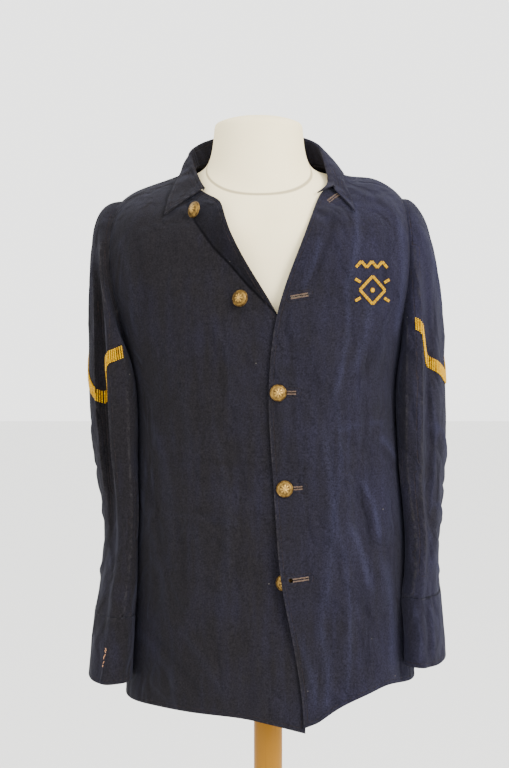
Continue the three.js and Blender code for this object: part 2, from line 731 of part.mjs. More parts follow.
// How far a dent reaches from its middle, in degrees: steep towards the body, and slow on the outer side
const DENT_REACH = { inner: 14, outer: 34 };
const TUCK = { depth: 8, round: -48, reach: 50 }; // how a sleeve's inner front leans over the body's side
const FRONT_SEAM_ROUND = -15;
const BACK_SEAM_ROUND = 195;
const ROUND_STEP = 15; // degrees between the columns that a sleeve shares with the armhole's rows
const HEAD_STEPS = [0, 0.1, 0.22, 0.36, 0.5, 0.64, 0.8, 1]; // rows of a sleeve's head, from the armhole
const SLEEVE_ROWS = 9; // rows from the head's foot to the cuff
const SLEEVE_CLEARANCE = 3.2; // between a sleeve's cloth and the body's

// The way round from one place on a sleeve to another, between -180 and 180 degrees.
const wayRound = (from, to) => ((to - from + 540) % 360) - 180;

// A point of a sleeve's level section, without what it rests against.
function sleeveRing(sleeve, round, z) {
  const at = sleeve.section(z);
  const angle = degToRad(round);
  const lean = degToRad(at.lean);
  const width = at.half * Math.sin(angle);
  const depth = -at.deep * Math.cos(angle);
  const tuck = TUCK.depth * hump(wayRound(TUCK.round, round) / TUCK.reach);
  const place = point(
    sleeve.side * (at.out - tuck + width * Math.cos(lean) + depth * Math.sin(lean)),
    at.y + depth * Math.cos(lean) - width * Math.sin(lean),
    z,
  );
  return place.add(dentOf(sleeve, round, z, 1));
}

// How far a sleeve's fold draws a point in, towards the back of the sleeve.
function dentOf(sleeve, round, z, share) {
  const at = sleeve.section(z);
  const turned = wayRound(at.dentRound, round);
  const reach = turned < 0 ? DENT_REACH.inner : DENT_REACH.outer;
  const depth = at.dent * share * hump(turned / reach);
  return point(-sleeve.side * 0.2 * depth, 0.96 * depth, 0);
}

// Keeps a point of a sleeve outside the body's cloth.
function clearOfBody(place, clearance) {
  if (place.z > CHEST_LINE) return place;
  const section = bodySection(place.z);
  const x = place.x - section.middle;
  const turn = THREE.MathUtils.radToDeg(Math.atan2(x, -place.y));
  const middle = (TIP_LEVEL + UNDERARM_LEVEL) / 2;
  const half = (TIP_LEVEL - UNDERARM_LEVEL) / 2;
  const height = (place.z - middle) / half;
  const opening = height > -1 ? ARMHOLE_TURN * Math.sqrt(1 - Math.min(height ** 2, 1)) : -5;
  if (Math.abs(Math.abs(turn) - 90) < opening) return place;
  const least = sectionRadius(section, degToRad(turn)) + foldHeight(turn, place.z) + clearance;
  const radius = Math.hypot(x, place.y);
  if (radius >= least) return place;
  place.x = section.middle + (x * least) / radius;
  place.y *= least / radius;
  return place;
}

// The seam of a sleeve on its armhole, just off the body's cloth.
function sleeveSeam(sleeve, round) {
  const at = armhole(sleeve.side, round);
  const place = bodyPoint(at.turn, at.level);
  const centre = bodyPoint(sleeve.side * 90, (TIP_LEVEL + UNDERARM_LEVEL) / 2);
  const upward = smooth((Math.sin(degToRad(round)) + 1) / 0.6);
  const inward = centre.sub(place).normalize().multiplyScalar(0.55 * upward);
  return place.add(inward).add(point(sleeve.side * 0.45, 0, 0));
}

function sleeveHead(sleeve, round, t) {
  const rounds = Math.floor(round / ROUND_STEP) * ROUND_STEP;
  const between = (round - rounds) / ROUND_STEP;
  const seam = sleeveSeam(sleeve, rounds).lerp(sleeveSeam(sleeve, rounds + ROUND_STEP), between);
  const angle = degToRad(round);
  const foot = sleeveRing(sleeve, round, SLEEVE_HEAD_FOOT);
  foot.sub(dentOf(sleeve, round, SLEEVE_HEAD_FOOT, 1));
  const { reach, lift, hang, swell } = sleeve.head;
  const upward = (Math.sin(angle) + 1) / 2;
  const start = seam.clone();
  start.x += sleeve.side * reach * (0.15 + 0.85 * upward ** 2);
  start.y -= swell * Math.cos(angle);
  start.z += lift * upward ** 2 - 14 * (1 - upward);
  const finish = foot.clone();
  finish.z += hang * (seam.z - foot.z);
  const place = new THREE.CubicBezierCurve3(seam, start, finish, foot).getPoint(t);
  place.add(dentOf(sleeve, round, SLEEVE_HEAD_FOOT, smooth(t * 1.15)));
  return clearOfBody(place, Math.min(0.5 + t * 9, SLEEVE_CLEARANCE));
}

// The rounds of a sleeve's columns from its front seam, finer about its front.
function sleeveRounds() {
  const rounds = [];
  for (let round = FRONT_SEAM_ROUND; round < FRONT_SEAM_ROUND + 360; round += ROUND_STEP) {
    rounds.push(round);
    const folded = Math.abs(((round + 517.5) % 360) - 180) < 37;
    if (folded) rounds.push(round + ROUND_STEP / 2);
  }
  return rounds;
}

function sleeveGrid(sleeve, rounds) {
  const grid = HEAD_STEPS.map((t) => rounds.map((round) => sleeveHead(sleeve, round, t)));
  for (let row = 1; row <= SLEEVE_ROWS; row++) {
    const z = lerp(SLEEVE_HEAD_FOOT, sleeve.cuffTop + SEAM_GAP, row / SLEEVE_ROWS);
    grid.push(rounds.map((round) => clearOfBody(sleeveRing(sleeve, round, z), SLEEVE_CLEARANCE)));
  }
  return grid;
}

// The columns of a whole sleeve that one of its pieces takes, with their ways out, drawn in at its seams.
function sleevePiece(sleeve, grid, normals, rounds, from, to) {
  const columns = [];
  rounds.forEach((round, column) => {
    if (round >= from && round <= to) columns.push(column);
  });
  if (to === FRONT_SEAM_ROUND + 360) columns.push(0);
  const last = columns.length - 1;
  const pull = (start, end) => start.addScaledVector(end.clone().sub(start).normalize(), SEAM_GAP * 1.3);
  const part = grid.map((line) => columns.map((column) => line[column].clone()));
  for (const line of part) {
    pull(line[0], line[1]);
    pull(line[last], line[last - 1]);
  }
  return wall(part, { ways: normals.map((line) => columns.map((column) => line[column])) });
}

const CUFF_PROUD = 0.8; // how far a cuff stands off the sleeve's line
function cuffGrid(sleeve) {
  const rounds = sleeveRounds();
  const grid = [];
  for (const share of [0, 0.33, 0.66, 1]) {
    const z = lerp(sleeve.cuffTop, sleeve.foot, share);
    const middle = sleeve.section(z);
    grid.push(
      rounds.map((round) => {
        const place = sleeveRing(sleeve, round, z);
        const out = point(place.x - sleeve.side * middle.out, place.y - middle.y, 0).normalize();
        return clearOfBody(place.addScaledVector(out, CUFF_PROUD), SLEEVE_CLEARANCE);
      }),
    );
  }
  return grid;
}

for (const [name, sleeve] of Object.entries(sleeves)) {
  const flip = -sleeve.side;
  const rounds = sleeveRounds();
  const grid = sleeveGrid(sleeve, rounds);
  const normals = gridNormals(grid, flip, true);
  const front = FRONT_SEAM_ROUND;
  const back = BACK_SEAM_ROUND;
  add("sleeve_" + name + "_top", sleevePiece(sleeve, grid, normals, rounds, front, back), navyWool);
  add("sleeve_" + name + "_under", sleevePiece(sleeve, grid, normals, rounds, back, front + 360), navyWool);
  add("cuff_" + name, wall(cuffGrid(sleeve), { side: flip, around: true }), navyWool);
}

// A button of the wearer's left cuff, at the back of its outer side
const cuffButton = { round: 120, z: 778, shank: 1.6 };
function cuffButtonShape() {
  const { round, z, shank } = cuffButton;
  const near = (turn, rise) => sleeveRing(sleeves.left, round + turn, z + rise);
  const across = near(4, 0).sub(near(-4, 0));
  const up = near(0, 5).sub(near(0, -5));
  const out = up.cross(across).normalize();
  const under = near(0, 0).addScaledVector(out, CUFF_PROUD);
  const back = under.addScaledVector(out, shank + BUTTON_GAP * 4);
  return facing(turned(buttonProfile(CUFF_BUTTON_RADIUS, shank), 16), back, out);
}
add("cuff_button_left", cuffButtonShape(), brass);

// The chevrons: thick bands of beads that lie on the sleeves, each in a V about its outer side.
// A band's front arm climbs little on the open cloth, and much across the sleeve's fold.
const chevrons = {
  right: { from: -16, to: 135, point: 45, foot: 1093, climb: 0.35, fold: { from: 19, to: 41, climb: 1.3 } },
  left: { from: -9, to: 180, point: 90, foot: 1118, climb: 0.45, fold: { from: 12, to: 30, climb: 1.9 } },
};
const CHEVRON = { upright: 16.5, thickness: 2.2, backClimb: 0.74, corner: 6, rows: 6, lift: 1.25 };

// The point of one sleeve column at a height, with the way out there.
function onColumn(grid, normals, column, z) {
  let row = HEAD_STEPS.length - 4;
  while (row > 0 && grid[row][column].z < z) row--;
  while (row < grid.length - 2 && grid[row + 1][column].z > z) row++;
  const [high, low] = [grid[row][column], grid[row + 1][column]];
  const f = clamp((high.z - z) / (high.z - low.z), 0, 1);
  const out = normals[row][column].clone().lerp(normals[row + 1][column], f).normalize();
  return { place: high.clone().lerp(low, f), out };
}

function chevronBand(sleeve, { from, to, point: tip, foot, climb, fold }) {
  const rounds = sleeveRounds();
  const grid = sleeveGrid(sleeve, rounds);
  const normals = gridNormals(grid, -sleeve.side, true);
  const columns = rounds
    .map((round, column) => ({ round: round > 300 ? round - 360 : round, column }))
    .filter(({ round }) => round >= from && round <= to)
    .sort((a, b) => a.round - b.round);
  const climbAt = (round) => {
    if (round > tip) return CHEVRON.backClimb;
    return round > fold.from && round <= fold.to ? fold.climb : climb;
  };
  let climbed = 0;
  const climbs = columns.map(({ round, column }, i) => {
    if (i > 0) {
      const last = onColumn(grid, normals, columns[i - 1].column, foot + 20).place;
      const here = onColumn(grid, normals, column, foot + 20).place;
      climbed += climbAt(round) * here.distanceTo(last);
    }
    return climbed;
  });
  const tipClimb = climbs[columns.findIndex(({ round }) => round >= tip)];
  const band = [];
  for (let row = 0; row < CHEVRON.rows; row++) {
    const height = (row / (CHEVRON.rows - 1) - 0.5) * CHEVRON.upright;
    band.push(
      columns.map(({ column }, i) => {
        const rise = Math.hypot(climbs[i] - tipClimb, CHEVRON.corner) - CHEVRON.corner;
        const { place, out } = onColumn(grid, normals, column, foot + rise + height);
        return place.addScaledVector(out, CHEVRON.lift + CHEVRON.thickness);
      }),
    );
  }
  return wall(band, { side: sleeve.side, thickness: CHEVRON.thickness });
}
for (const [name, sleeve] of Object.entries(sleeves)) {
  add("chevron_" + name, chevronBand(sleeve, chevrons[name]), yellowBeads);
}

// The collar, folded over from its stand; one row for each section, by degrees round the neckline
const collarSections = [
  { turn: -50, foldX: -88, foldY: -63, foldZ: 1374, edgeX: -136, edgeY: -94, edgeZ: 1333 },
  { turn: -58, foldX: -93, foldY: -51, foldZ: 1383, edgeX: -133, edgeY: -70, edgeZ: 1354 },
  { turn: -72, foldX: -100, foldY: -34, foldZ: 1398, edgeX: -127, edgeY: -40, edgeZ: 1379 },
  { turn: -90, foldX: -110, foldY: 0, foldZ: 1421, edgeX: -121, edgeY: 2, edgeZ: 1399 },
  { turn: -118, foldX: -103, foldY: 36, foldZ: 1440, edgeX: -118, edgeY: 46, edgeZ: 1408 },
  { turn: -148, foldX: -68, foldY: 66, foldZ: 1458, edgeX: -78, edgeY: 90, edgeZ: 1413 },
  { turn: -180, foldX: -14, foldY: 76, foldZ: 1463, edgeX: -14, edgeY: 102, edgeZ: 1414 },
  { turn: -212, foldX: 38, foldY: 66, foldZ: 1460, edgeX: 56, edgeY: 92, edgeZ: 1413 },
  { turn: -242, foldX: 66, foldY: 36, foldZ: 1446, edgeX: 92, edgeY: 48, edgeZ: 1409 },
  { turn: -270, foldX: 74, foldY: 4, foldZ: 1428, edgeX: 104, edgeY: 4, edgeZ: 1400 },
  { turn: -288, foldX: 79, foldY: -24, foldZ: 1405, edgeX: 101, edgeY: -36, edgeZ: 1385 },
  { turn: -302, foldX: 85, foldY: -44, foldZ: 1386, edgeX: 107, edgeY: -64, edgeZ: 1361 },
  { turn: -313, foldX: 88, foldY: -60, foldZ: 1374, edgeX: 110, edgeY: -88, edgeZ: 1331 },
];
const COLLAR_STATIONS = 26;
const FOLD_RADIUS = 3.3;
const FOLD_STEPS = 4;
const FALL_CLEARANCE = CLOTH + 1.4; // from a front's outer face to the fall's
const collarAt = smoothTable(
  collarSections.map((row, station) => ({ station, ...row })),
  "station",
);

// Keeps a point of the collar's fall off the cloth of the front that it lies on.
function clearOfFront(place) {
  if (place.y > -20) return place;
  const under = onGrid(place.x < 0 ? rightFrontGrid : leftFrontGrid, place.x, place.z);
  if (!under) return place;
  const height = place.clone().sub(under.place).dot(under.out);
  return height < FALL_CLEARANCE ? place.addScaledVector(under.out, FALL_CLEARANCE - height) : place;
}

function collarProfile(station) {
  const at = collarAt(station);
  const turn = at.turn < -180 ? at.turn + 360 : at.turn;
  const top = CHEST_LINE + SHOULDER_SPAN;
  const foot = bodyPoint(turn, top);
  const climb = foot.clone().sub(plainBody(turn, top - 2)).normalize();
  foot.addScaledVector(climb, foot.y < -30 ? 2.4 : 2.2);
  const fold = point(at.foldX, at.foldY, at.foldZ);
  const edge = point(at.edgeX, at.edgeY, at.edgeZ);
  const up = fold.clone().sub(foot).normalize();
  const over = edge.clone().sub(fold);
  over.addScaledVector(up, -over.dot(up)).normalize();
  const centre = fold.clone().addScaledVector(up, -FOLD_RADIUS);
  const line = [foot, foot.clone().lerp(centre.clone().addScaledVector(over, -FOLD_RADIUS), 0.5)];
  for (let step = 0; step <= FOLD_STEPS; step++) {
    const angle = (Math.PI * step) / FOLD_STEPS;
    const place = centre.clone().addScaledVector(over, -FOLD_RADIUS * Math.cos(angle));
    line.push(place.addScaledVector(up, FOLD_RADIUS * Math.sin(angle)));
  }
  const start = line[line.length - 1];
  const bow = over.clone().addScaledVector(up, 0.4).normalize();
  for (const share of [0.35, 0.7, 1]) {
    const place = start.clone().lerp(edge, share);
    line.push(place.addScaledVector(bow, 2.5 * Math.sin(Math.PI * share)));
  }
  return line.map((place, step) => (step > 0 ? clearOfFront(place) : place));
}

const collarColumns = [];
for (let step = 0; step <= COLLAR_STATIONS; step++) {
  collarColumns.push(collarProfile((step / COLLAR_STATIONS) * (collarSections.length - 1)));
}
const collarGrid = collarColumns[0].map((_, row) => collarColumns.map((column) => column[row]));
add("collar", wall(collarGrid, { side: 1 }), navyWool);

// The dress form: a smooth closed torso with a neck, which the coat's shoulders rest on
const formSection = smoothTable(
  [
    { z: FORM_FOOT, middle: 0, half: 150, front: 112, back: 98, square: 2.3 },
    { z: 880, middle: 0, half: 152, front: 111, back: 97, square: 2.3 },
    { z: 1000, middle: -3, half: 140, front: 106, back: 86, square: 2.3 },
    { z: 1100, middle: -6, half: 147, front: 112, back: 90, square: 2.3 },
    { z: 1190, middle: -9, half: 164, front: 120, back: 98, square: 2.4 },
    { z: CHEST_LINE, middle: -12, half: 172, front: 115, back: 100, square: 2.5 },
  ],
  "z",
);
// How deep the form lies inside the coat's outer face above the chest line, from there to the neck.
const formDepth = smoothTable(
  [
    { level: CHEST_LINE, front: 14, side: 43, back: 13 },
    { level: 1300, front: 13, side: 38, back: 12 },
    { level: 1345, front: 12, side: 22, back: 10 },
    { level: 1375, front: 10, side: 7.5, back: 7 },
    { level: 1395, front: 9, side: CLOTH + 4, back: 6 },
    { level: 1430, front: 8, side: CLOTH + 4, back: 6 },
    { level: 1450, front: 8, side: CLOTH + 4.5, back: 6 },
  ],
  "level",
);
// The neck's level rings; height is measured at its side, and drop is how much lower its front lies.
const neckRings = [
  { height: 1401, half: 78, front: 80, back: 64, drop: 42 },
  { height: 1409, half: 70, front: 71, back: 60, drop: 30 },
  { height: 1422, half: 65, front: 65, back: 61, drop: 15 },
  { height: 1440, half: 62, front: 61, back: 61, drop: 4 },
  { height: NECK_TOP - 4, half: 61, front: 60, back: 60, drop: 0 },
  { height: NECK_TOP, half: 58, front: 57, back: 57, drop: 0 },
  { height: NECK_TOP + 8, half: 34, front: 33, back: 33, drop: 0 },
];
const NECK_MIDDLE = -13.5;
const FORM_SEGMENTS = 32;

function formRing(placeAt) {
  const ring = [];
  for (let step = 0; step < FORM_SEGMENTS; step++) {
    const size = (step * 360) / FORM_SEGMENTS;
    ring.push(placeAt(size > 180 ? size - 360 : size));
  }
  return ring;
}

function formLevel(z) {
  return formRing((turn) => {
    const section = formSection(z);
    const radius = sectionRadius(section, degToRad(turn));
    const angle = degToRad(turn);
    return point(section.middle + radius * Math.sin(angle), -radius * Math.cos(angle), z);
  });
}

function formShoulder(level) {
  return formRing((turn) => {
    const depth = formDepth(level);
    const angle = degToRad(turn);
    const end = Math.cos(angle) > 0 ? depth.front : depth.back;
    const share = Math.sin(angle) ** 4;
    const step = 0.5;
    const along = plainBody(turn + step, level).sub(plainBody(turn - step, level));
    const up = plainBody(turn, level + step).sub(plainBody(turn, level - step));
    const normal = along.cross(up).normalize();
    return plainBody(turn, level).addScaledVector(normal, -lerp(end, depth.side, share));
  });
}

function neckRing({ height, half, front, back, drop }) {
  return formRing((turn) => {
    const angle = degToRad(turn);
    const depth = Math.cos(angle) > 0 ? front : back;
    const rise = Math.cos(angle) > 0 ? -drop : drop * 0.55;
    const z = height + rise * Math.cos(angle) ** 2;
    return point(NECK_MIDDLE + half * Math.sin(angle), -depth * Math.cos(angle), z);
  });
}

const formLevels = [FORM_FOOT, 800, 860, 920, 980, 1040, 1100, 1150, 1200];
const shoulderLevels = [CHEST_LINE, 1285, 1320, 1350, 1375, 1400, 1425, 1440];
add(
  "dress_form",
  loft([
    ...formLevels.map(formLevel),
    ...shoulderLevels.map(formShoulder),
    ...neckRings.map(neckRing),
  ]),
  creamCover,
);

// The stand
add(
  "stand_post",
  turned(
    [
      [0, BASE_HEIGHT + SEAM_GAP],
      [POST_RADIUS, BASE_HEIGHT + SEAM_GAP],
      [POST_RADIUS, FORM_FOOT - SEAM_GAP],
      [0, FORM_FOOT - SEAM_GAP],
    ],
    32,
  ),
  honeyWood,
);
add(
  "stand_base",
  turned(
    [
      [0, 0],
      [BASE_RADIUS - 4, 0],
      [BASE_RADIUS, 4],
      [BASE_RADIUS, BASE_HEIGHT - 12],
      [BASE_RADIUS - 5, BASE_HEIGHT - 4],
      [BASE_RADIUS - 14, BASE_HEIGHT],
      [0, BASE_HEIGHT],
    ],
    48,
  ),
  honeyWood,
);

export default jacket;
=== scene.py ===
# A beaded scout jacket on a limbless dress form with a wooden stand: its looks.
# Everything is in metres, with +Z up. The coat faces -Y, and the wearer's left side lies towards +X.
import math
from collections import namedtuple

import bmesh
import bpy
import numpy as np
from mathutils import Matrix, Vector
from mathutils.bvhtree import BVHTree
from mathutils.kdtree import KDTree


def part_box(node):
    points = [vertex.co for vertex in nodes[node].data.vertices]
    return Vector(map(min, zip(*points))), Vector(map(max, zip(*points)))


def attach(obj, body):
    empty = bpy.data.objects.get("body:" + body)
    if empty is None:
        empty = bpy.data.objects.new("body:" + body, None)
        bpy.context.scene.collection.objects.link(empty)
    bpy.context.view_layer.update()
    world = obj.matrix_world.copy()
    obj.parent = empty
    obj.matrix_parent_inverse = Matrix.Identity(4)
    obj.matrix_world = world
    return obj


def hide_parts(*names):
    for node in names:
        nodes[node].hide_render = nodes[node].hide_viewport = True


MM = 0.001

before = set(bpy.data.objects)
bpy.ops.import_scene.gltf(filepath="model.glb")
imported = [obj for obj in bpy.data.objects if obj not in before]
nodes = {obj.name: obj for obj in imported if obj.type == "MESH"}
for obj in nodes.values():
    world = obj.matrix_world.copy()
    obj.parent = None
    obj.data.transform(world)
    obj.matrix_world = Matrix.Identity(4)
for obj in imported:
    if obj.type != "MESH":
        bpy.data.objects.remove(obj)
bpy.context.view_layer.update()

# Camera
CAMERA_PLACE = (-0.019, -1.8, 1.1844)
CAMERA_TILT = 2.4  # degrees down
FOCAL_PIXELS = 1304
PHOTO_HEIGHT = 768
SENSOR = 36


def add_camera():
    bpy.ops.object.camera_add(location=CAMERA_PLACE, rotation=(math.radians(90 - CAMERA_TILT), 0, 0))
    camera = bpy.context.object
    camera.name = "camera"
    camera.data.sensor_fit = "VERTICAL"
    camera.data.sensor_height = SENSOR
    camera.data.lens = FOCAL_PIXELS / PHOTO_HEIGHT * SENSOR
    camera.data.clip_end = 50
    bpy.context.scene.camera = camera


# Shader maths


class Wire:
    """A socket or a number in a material, with arithmetic that adds Math nodes."""

    def __init__(self, tree, socket):
        self.tree = tree
        self.socket = socket

    def math(self, operation, *others, clamp=False):
        values = {i: value for i, value in enumerate((self, *others))}
        settings = {"operation": operation, "use_clamp": clamp}
        return self.node("ShaderNodeMath", settings, values)

    def node(self, kind, settings=None, values=None, output=0):
        return Wire(self.tree, add_node(self.tree, kind, settings or {}, values or {}).outputs[output])

    def __add__(self, other):
        return self.math("ADD", other)

    __radd__ = __add__

    def __mul__(self, other):
        return self.math("MULTIPLY", other)

    __rmul__ = __mul__

    def __sub__(self, other):
        return self.math("SUBTRACT", other)

    def __rsub__(self, other):
        return self.node("ShaderNodeMath", {"operation": "SUBTRACT"}, {0: other, 1: self})

    def __truediv__(self, other):
        return self.math("DIVIDE", other)

    def __neg__(self):
        return self.math("MULTIPLY", -1.0)

    def __abs__(self):
        return self.math("ABSOLUTE")

    def rise(self, low, high):
        """0 below low and 1 above high, eased between them."""
        settings = {"interpolation_type": "SMOOTHSTEP"}
        return self.node("ShaderNodeMapRange", settings, {"Value": self, "From Min": low, "From Max": high})

    def fall(self, low, high):
        """1 below low and 0 above high, eased between them."""
        return 1.0 - self.rise(low, high)


def add_node(tree, kind, settings, values):
    """A node with its settings made first, and then the values or links of its sockets."""
    node = tree.nodes.new(kind)
    for name, value in settings.items():
        if name == "stops":
            ramp = node.color_ramp.elements
            while len(ramp) < len(value):
                ramp.new(0.5)
            for element, (place, colour) in zip(ramp, value):
                element.position = place
                element.color = (*colour, 1)
        else:
            setattr(node, name, value)
    for name, value in values.items():
        socket = node.inputs[name]
        if isinstance(value, Wire):
            tree.links.new(value.socket, socket)
        elif isinstance(value, tuple) and len(value) == 3 and socket.type == "RGBA":
            socket.default_value = (*value, 1)
        else:
            socket.default_value = value
    return node


class Finish:
    """A material under construction, with its Principled shader."""

    def __init__(self, name, **sockets):
        self.material = bpy.data.materials.new(name)
        self.material.use_nodes = True
        self.tree = self.material.node_tree
        self.shader = self.tree.nodes["Principled BSDF"]
        for socket, value in sockets.items():
            self.set(socket.replace("_", " "), value)

    def set(self, socket, value):
        target = self.shader.inputs[socket]
        if isinstance(value, Wire):
            self.tree.links.new(value.socket, target)
        else:
            target.default_value = (*value, 1) if isinstance(value, tuple) and len(value) == 3 else value

    def wire(self, kind, settings=None, values=None, output=0):
        return Wire(self.tree, add_node(self.tree, kind, settings or {}, values or {}).outputs[output])

    def place(self):
        """The Object coordinates, and each of the three alone."""
        whole = self.wire("ShaderNodeTexCoord", output="Object")
        parts = add_node(self.tree, "ShaderNodeSeparateXYZ", {}, {0: whole})
        return (whole, *(Wire(self.tree, parts.outputs[i]) for i in range(3)))

    def stretched(self, place, x, y, z):
        return self.wire("ShaderNodeMapping", {}, {"Vector": place, "Scale": (x, y, z)})

    def noise(self, place, scale, detail=2.0, roughness=0.5):
        values = {"Vector": place, "Scale": scale, "Detail": detail, "Roughness": roughness}
        return self.wire("ShaderNodeTexNoise", {}, values)

    def mix(self, share, first, second, blend="MIX"):
        settings = {"data_type": "RGBA", "blend_type": blend}
        values = {0: share, 6: first, 7: second}
        return self.wire("ShaderNodeMix", settings, values, output=2)

    def attribute(self, name):
        return self.wire("ShaderNodeAttribute", {"attribute_name": name}, output="Fac")

    def bump(self, height, distance, strength=1.0):
        values = {"Height": height, "Distance": distance, "Strength": strength}
        self.set("Normal", self.wire("ShaderNodeBump", {}, values))


# Finishes
NAVY_DARK = (0.0088, 0.0079, 0.0090)
NAVY_BLUE = (0.0125, 0.0116, 0.0225)
# The next four colours are painted light: a highlight, shade, a paler worn edge that is partly a painted
# highlight, and a shadow line.
NAVY_LIT = (0.0300, 0.0310, 0.0620)
NAVY_SHADED = (0.0030, 0.0026, 0.0034)
NAVY_WORN_AND_LIT = (0.0230, 0.0210, 0.0225)
FOLD_SHADE = (0.0008, 0.0007, 0.0010)
STITCH_BROWN = (0.0170, 0.0125, 0.0115)
LINT = (0.22, 0.20, 0.17)
TOPSTITCH_INSET = 0.0055  # from a free edge to the row of stitches beside it


def wool_finish():
    """Navy twill with a soft nap: bluer and brighter towards the wearer's left, where the key light falls,
    partly its own tone and partly painted light; painted highlights on its ridges, painted shade in its
    troughs, and edges paler from wear and partly a painted highlight.
    """
    wool = Finish("navy_wool", Roughness=0.93, Specular_IOR_Level=0.05)
    wool.set("Sheen Weight", 0.03)
    wool.set("Sheen Roughness", 0.5)
    wool.set("Sheen Tint", (0.60, 0.64, 1.0))
    place, x, _, z = wool.place()
    cloth = wool.wire("ShaderNodeUVMap", {"uv_map": "cloth"})
    patches = wool.noise(place, 8.0, 4.0, 0.6)
    streaks = wool.noise(wool.stretched(place, 90.0, 90.0, 9.0), 1.0, 3.0)
    nap = wool.noise(place, 520.0, 3.0, 0.75)
    ridge = wool.attribute("ridge")
    edge = wool.attribute("edge")
    # Drawn bluer and brighter towards the wearer's left, where the key light falls, and more so higher up:
    # partly the cloth's own tone, partly painted light.
    side = x.rise(-0.10, 0.16)
    high = z.rise(1.06, 1.30)
    mottle = (patches - 0.5) * 1.5 + (streaks - 0.5) * 0.7
    blue_tone_and_light = (side * (high * 0.25 + 0.55) + mottle).math("ADD", 0.02, clamp=True)
    colour = wool.mix(blue_tone_and_light, NAVY_DARK, NAVY_BLUE)
    # Painted highlight: the crease ridges, and faint streaks of sheen, paler on the key-lit side.
    lit = (ridge * (side * 0.34 + 0.10) + (streaks - 0.5) * 0.16 * side).math("ADD", 0.0, clamp=True)
    colour = wool.mix(lit, colour, NAVY_LIT)
    # Painted shade in the creases' troughs.
    trough_shade = (ridge * -0.50).math("ADD", 0.0, clamp=True)
    colour = wool.mix(trough_shade, colour, NAVY_SHADED)
    # Painted shade on the turned strip beside the right front's crease.
    colour = wool.mix(wool.attribute("strip") * 0.5, colour, NAVY_SHADED)
    # A painted shadow line along that crease.
    fold_line = wool.attribute("fold_line").rise(0.35, 1.0)
    colour = wool.mix(fold_line * 0.9, colour, FOLD_SHADE)
    # Paler edges: wear, and partly a painted highlight where the edges catch the light.
    worn = edge.fall(0.0003, 0.0030) * wool.noise(place, 150.0, 2.0).rise(0.35, 0.7) * 0.6
    colour = wool.mix(worn, colour, NAVY_WORN_AND_LIT)
    free = wool.attribute("free_edge")
    row = abs(free - TOPSTITCH_INSET).fall(0.0002, 0.0008)
    stitches = wool.wire("ShaderNodeTexNoise", {}, {"Vector": place, "Scale": 260.0, "Detail": 0.0})
    colour = wool.mix(row * stitches.rise(0.42, 0.5) * 0.6, colour, STITCH_BROWN)
    shade = (nap - 0.5) * 3.0 + 1.0
    grey = wool.wire("ShaderNodeCombineColor", {}, {0: shade, 1: shade, 2: shade})
    colour = wool.mix(1.0, colour, grey, blend="MULTIPLY")
    wool.set("Base Color", wool.mix(lint_mask(wool, place), colour, LINT))
    twill = twill_height(wool, cloth)
    creases = crumples(wool, place, 10.0) * 3.4 + crumples(wool, place, 24.0) * 1.9
    wool.bump(twill * 0.12 + nap * 0.35 + creases - row * 0.6, 0.0020, 0.7)
    return wool.material


def lint_mask(wool, place):
    """Scattered specks of pale lint, in a few cells of a fine honeycomb."""
    cells = add_node(wool.tree, "ShaderNodeTexVoronoi", {}, {"Vector": place, "Scale": 60.0})
    near = Wire(wool.tree, cells.outputs["Distance"]).fall(0.02, 0.06)
    lot = wool.wire("ShaderNodeSeparateColor", {}, {0: Wire(wool.tree, cells.outputs["Color"])})
    return near * lot.rise(0.93, 0.94) * 0.5


def crumples(wool, place, scale):
    """Fine joined creases of worn cloth: thin valleys where a slow noise passes its middle."""
    warped = wool.stretched(place, 1.0, 1.0, 0.62)
    values = {"Vector": warped, "Scale": scale, "Detail": 2.0, "Roughness": 0.45, "Distortion": 0.5}
    slow = wool.wire("ShaderNodeTexNoise", {}, values)
    return abs(slow - 0.5).rise(0.0, 0.16)


def twill_height(wool, cloth):
    """Fine slanting ribs over the cloth's own map."""
    turned = wool.wire("ShaderNodeMapping", {}, {"Vector": cloth, "Rotation": (0, 0, math.radians(58))})
    values = {"Vector": turned, "Scale": 330.0, "Distortion": 0.6, "Detail": 1.0}
    return wool.wire("ShaderNodeTexWave", {"bands_direction": "X"}, values, output=1)


BRASS_BRIGHT = (0.36, 0.215, 0.052)
BRASS_BROWN = (0.040, 0.020, 0.005)


def brass_finish():
    """Old gilt brass: worn bright on what stands proud, brown in the hollows."""
    brass = Finish("old_brass", Metallic=0.92)
    place = brass.place()[0]
    relief = brass.attribute("relief")
    cloud = brass.noise(place, 260.0, 3.0)
    tarnish = ((cloud - 0.5) * 1.3 + 0.85 - relief).math("ADD", 0.0, clamp=True)
    brass.set("Base Color", brass.mix(tarnish, BRASS_BRIGHT, BRASS_BROWN))
    brass.set("Roughness", tarnish * 0.25 + 0.30)
    brass.bump(cloud, 0.0002, 0.4)
    return brass.material


def bead_finish():
    """Opaque yellow glass beads, each of its own tint."""
    beads = Finish("yellow_beads", Roughness=0.28, Specular_IOR_Level=0.07)
    tint = beads.attribute("tint")
    stops = [(0.0, (0.20, 0.075, 0.0)), (0.45, (0.42, 0.215, 0.0)), (1.0, (0.54, 0.330, 0.0))]
    beads.set("Base Color", beads.wire("ShaderNodeValToRGB", {"stops": stops}, {0: tint}))
    return beads.material


CREAM = (0.84, 0.735, 0.480)
CREAM_MARKED = (0.78, 0.665, 0.410)
CREAM_SEAM = (0.27, 0.22, 0.13)


